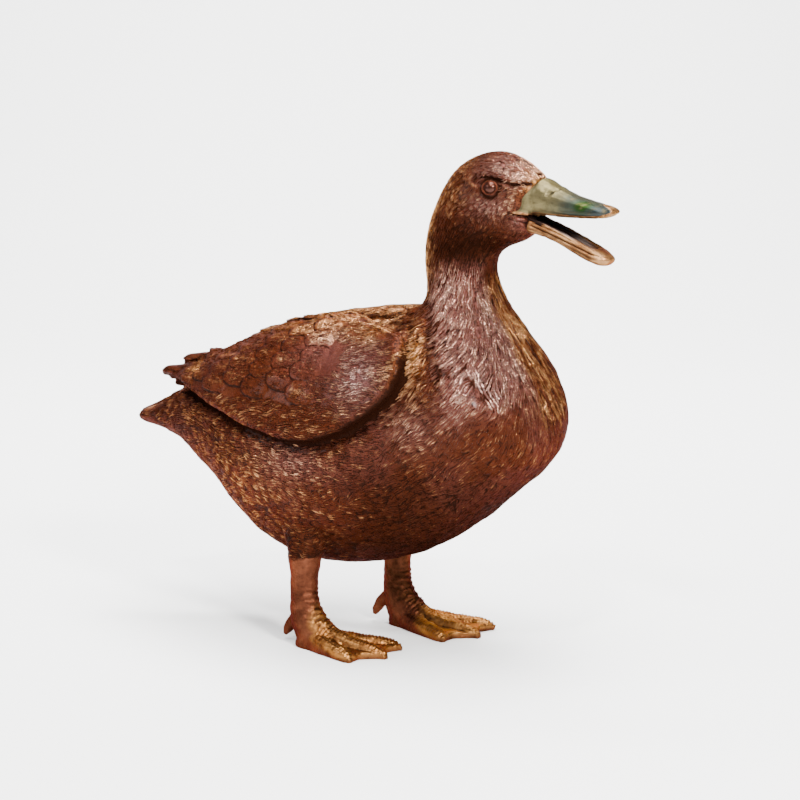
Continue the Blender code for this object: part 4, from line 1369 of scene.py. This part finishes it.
def make_studio():
    """A plain pale floor that sweeps up behind, soft lights and the camera."""
    away = Vector((-math.sin(VIEW_TURN), math.cos(VIEW_TURN), 0))
    across = Vector((away.y, -away.x, 0))
    profile = [(-7.0, 0.0), (1.8, 0.0)]
    for step in range(1, 13):
        turn = math.pi / 2 * step / 12
        profile.append((1.8 + 2.2 * math.sin(turn), 2.2 * (1 - math.cos(turn))))
    profile.append((4.0, 6.0))
    shape = bmesh.new()
    rows = [[shape.verts.new(away * back + across * wide + Vector((0, 0, rise))) for wide in (-7.0, 7.0)]
            for back, rise in profile]
    for near, far in zip(rows[:-1], rows[1:]):
        shape.faces.new((near[0], near[1], far[1], far[0]))
    make = Finish("pale_floor")
    grain = make.noise(make.place(), 30.0)
    floor = put("floor", shape, make.finish(base_color=(0.93, 0.93, 0.925), roughness=0.66 + grain * 0.05))

    world = bpy.data.worlds.new("studio")
    bpy.context.scene.world = world
    world.use_nodes = True
    world.node_tree.nodes["Background"].inputs["Color"].default_value = (1.0, 0.99, 0.98, 1)
    world.node_tree.nodes["Background"].inputs["Strength"].default_value = 0.25

    middle = Vector((0.0, 0.0, 0.2))
    lights = (
        ("key", (1.60, -0.95, 1.20), 0.30, 92.0, (1.0, 0.985, 0.96), middle),
        ("window", (0.55, -1.35, 1.75), 0.22, 34.0, (1.0, 1.0, 1.0), middle),
        ("side", (-1.3, -1.2, 1.0), 0.6, 20.0, (0.93, 0.95, 1.0), middle),
        ("top", (0.2, -0.1, 2.4), 1.8, 175.0, (1.0, 1.0, 1.0), middle),
        ("sweep", (-0.6, 0.9, 2.6), 1.5, 340.0, (1.0, 1.0, 1.0), Vector((-2.0, 3.2, 0.6))),
    )
    for name, spot, size, power, colour, aim in lights:
        data = bpy.data.lights.new(name, "AREA")
        data.shape = "SQUARE"
        data.size = size
        data.energy = power
        data.color = colour
        lamp = bpy.data.objects.new(name, data)
        lamp.location = spot
        lamp.rotation_euler = (aim - Vector(spot)).to_track_quat("-Z", "Y").to_euler()
        bpy.context.scene.collection.objects.link(lamp)

    distance, height = 1.8, 0.45
    target = Vector((FORWARD, 0, 0.20))
    data = bpy.data.cameras.new("camera")
    data.lens = 104.8
    data.sensor_width = 36.0
    data.shift_x, data.shift_y = 0.03125, -0.0175
    camera = bpy.data.objects.new("camera", data)
    camera.location = (math.sin(VIEW_TURN) * distance + FORWARD, -math.cos(VIEW_TURN) * distance, height)
    camera.rotation_euler = (target - camera.location).to_track_quat("-Z", "Y").to_euler()
    bpy.context.scene.collection.objects.link(camera)
    bpy.context.scene.camera = camera


def main():
    make_studio()
    bronze = plumage_bronze("plumage_bronze")
    eyes = eye_bronze("eye_bronze")
    foot = foot_bronze("foot_bronze")
    copper = copper_bronze("copper_bronze")
    skin = make_skin(bronze)
    points = points_of(skin.data)
    surface = surface_of(skin)
    leg = smoothstep(0.072, 0.062, points[:, 2])
    folds = folded_patch(points)
    gape = bell(points[:, 0] - 0.154, 0.008, points[:, 2] - 0.332, 0.007)
    smooth = smoothstep(0.001, 0.006, wing_depth(points)) * 0.8 + smooth_patch(points) + gape
    # Darker between the breast folds: painted shade in the slits
    relief = 0.38 + 0.26 * np.clip(smooth + leg, 0, 1) + 0.12 * leg - 0.30 * folds
    relief += 0.08 * cloud(points, 0.004, 6)
    # Painted highlight along the wing's cord
    relief += 0.25 * bell(cord_gap(points), 0.0012) + breast_folds(points) * 420
    paint_layers(skin.data, relief=relief, **paint_body(points))
    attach(skin, "root")
    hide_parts(*FLESH, "wing_left", "wing_right", "leg_left", "leg_right")
    comb_body(skin, surface, bronze)
    comb_folds(skin, surface, bronze)
    tail_feathers(surface, bronze)
    flights = [flight_feathers(side, bronze) for side in SIDES.items()]
    with_flights = surface_of(skin, *flights)
    for side in SIDES.items():
        comb_wing(skin, surface, side, bronze)
        lay_cord(surface, side, bronze)
        wing_feathers(with_flights, side, bronze)
        make_eye(side, eyes)
        make_lids(side, bronze)
        make_foot(side, foot)
    make_upper_bill(bill_bronze("bill_bronze"))
    make_lower_bill(copper)
    make_mouth(copper)


main()
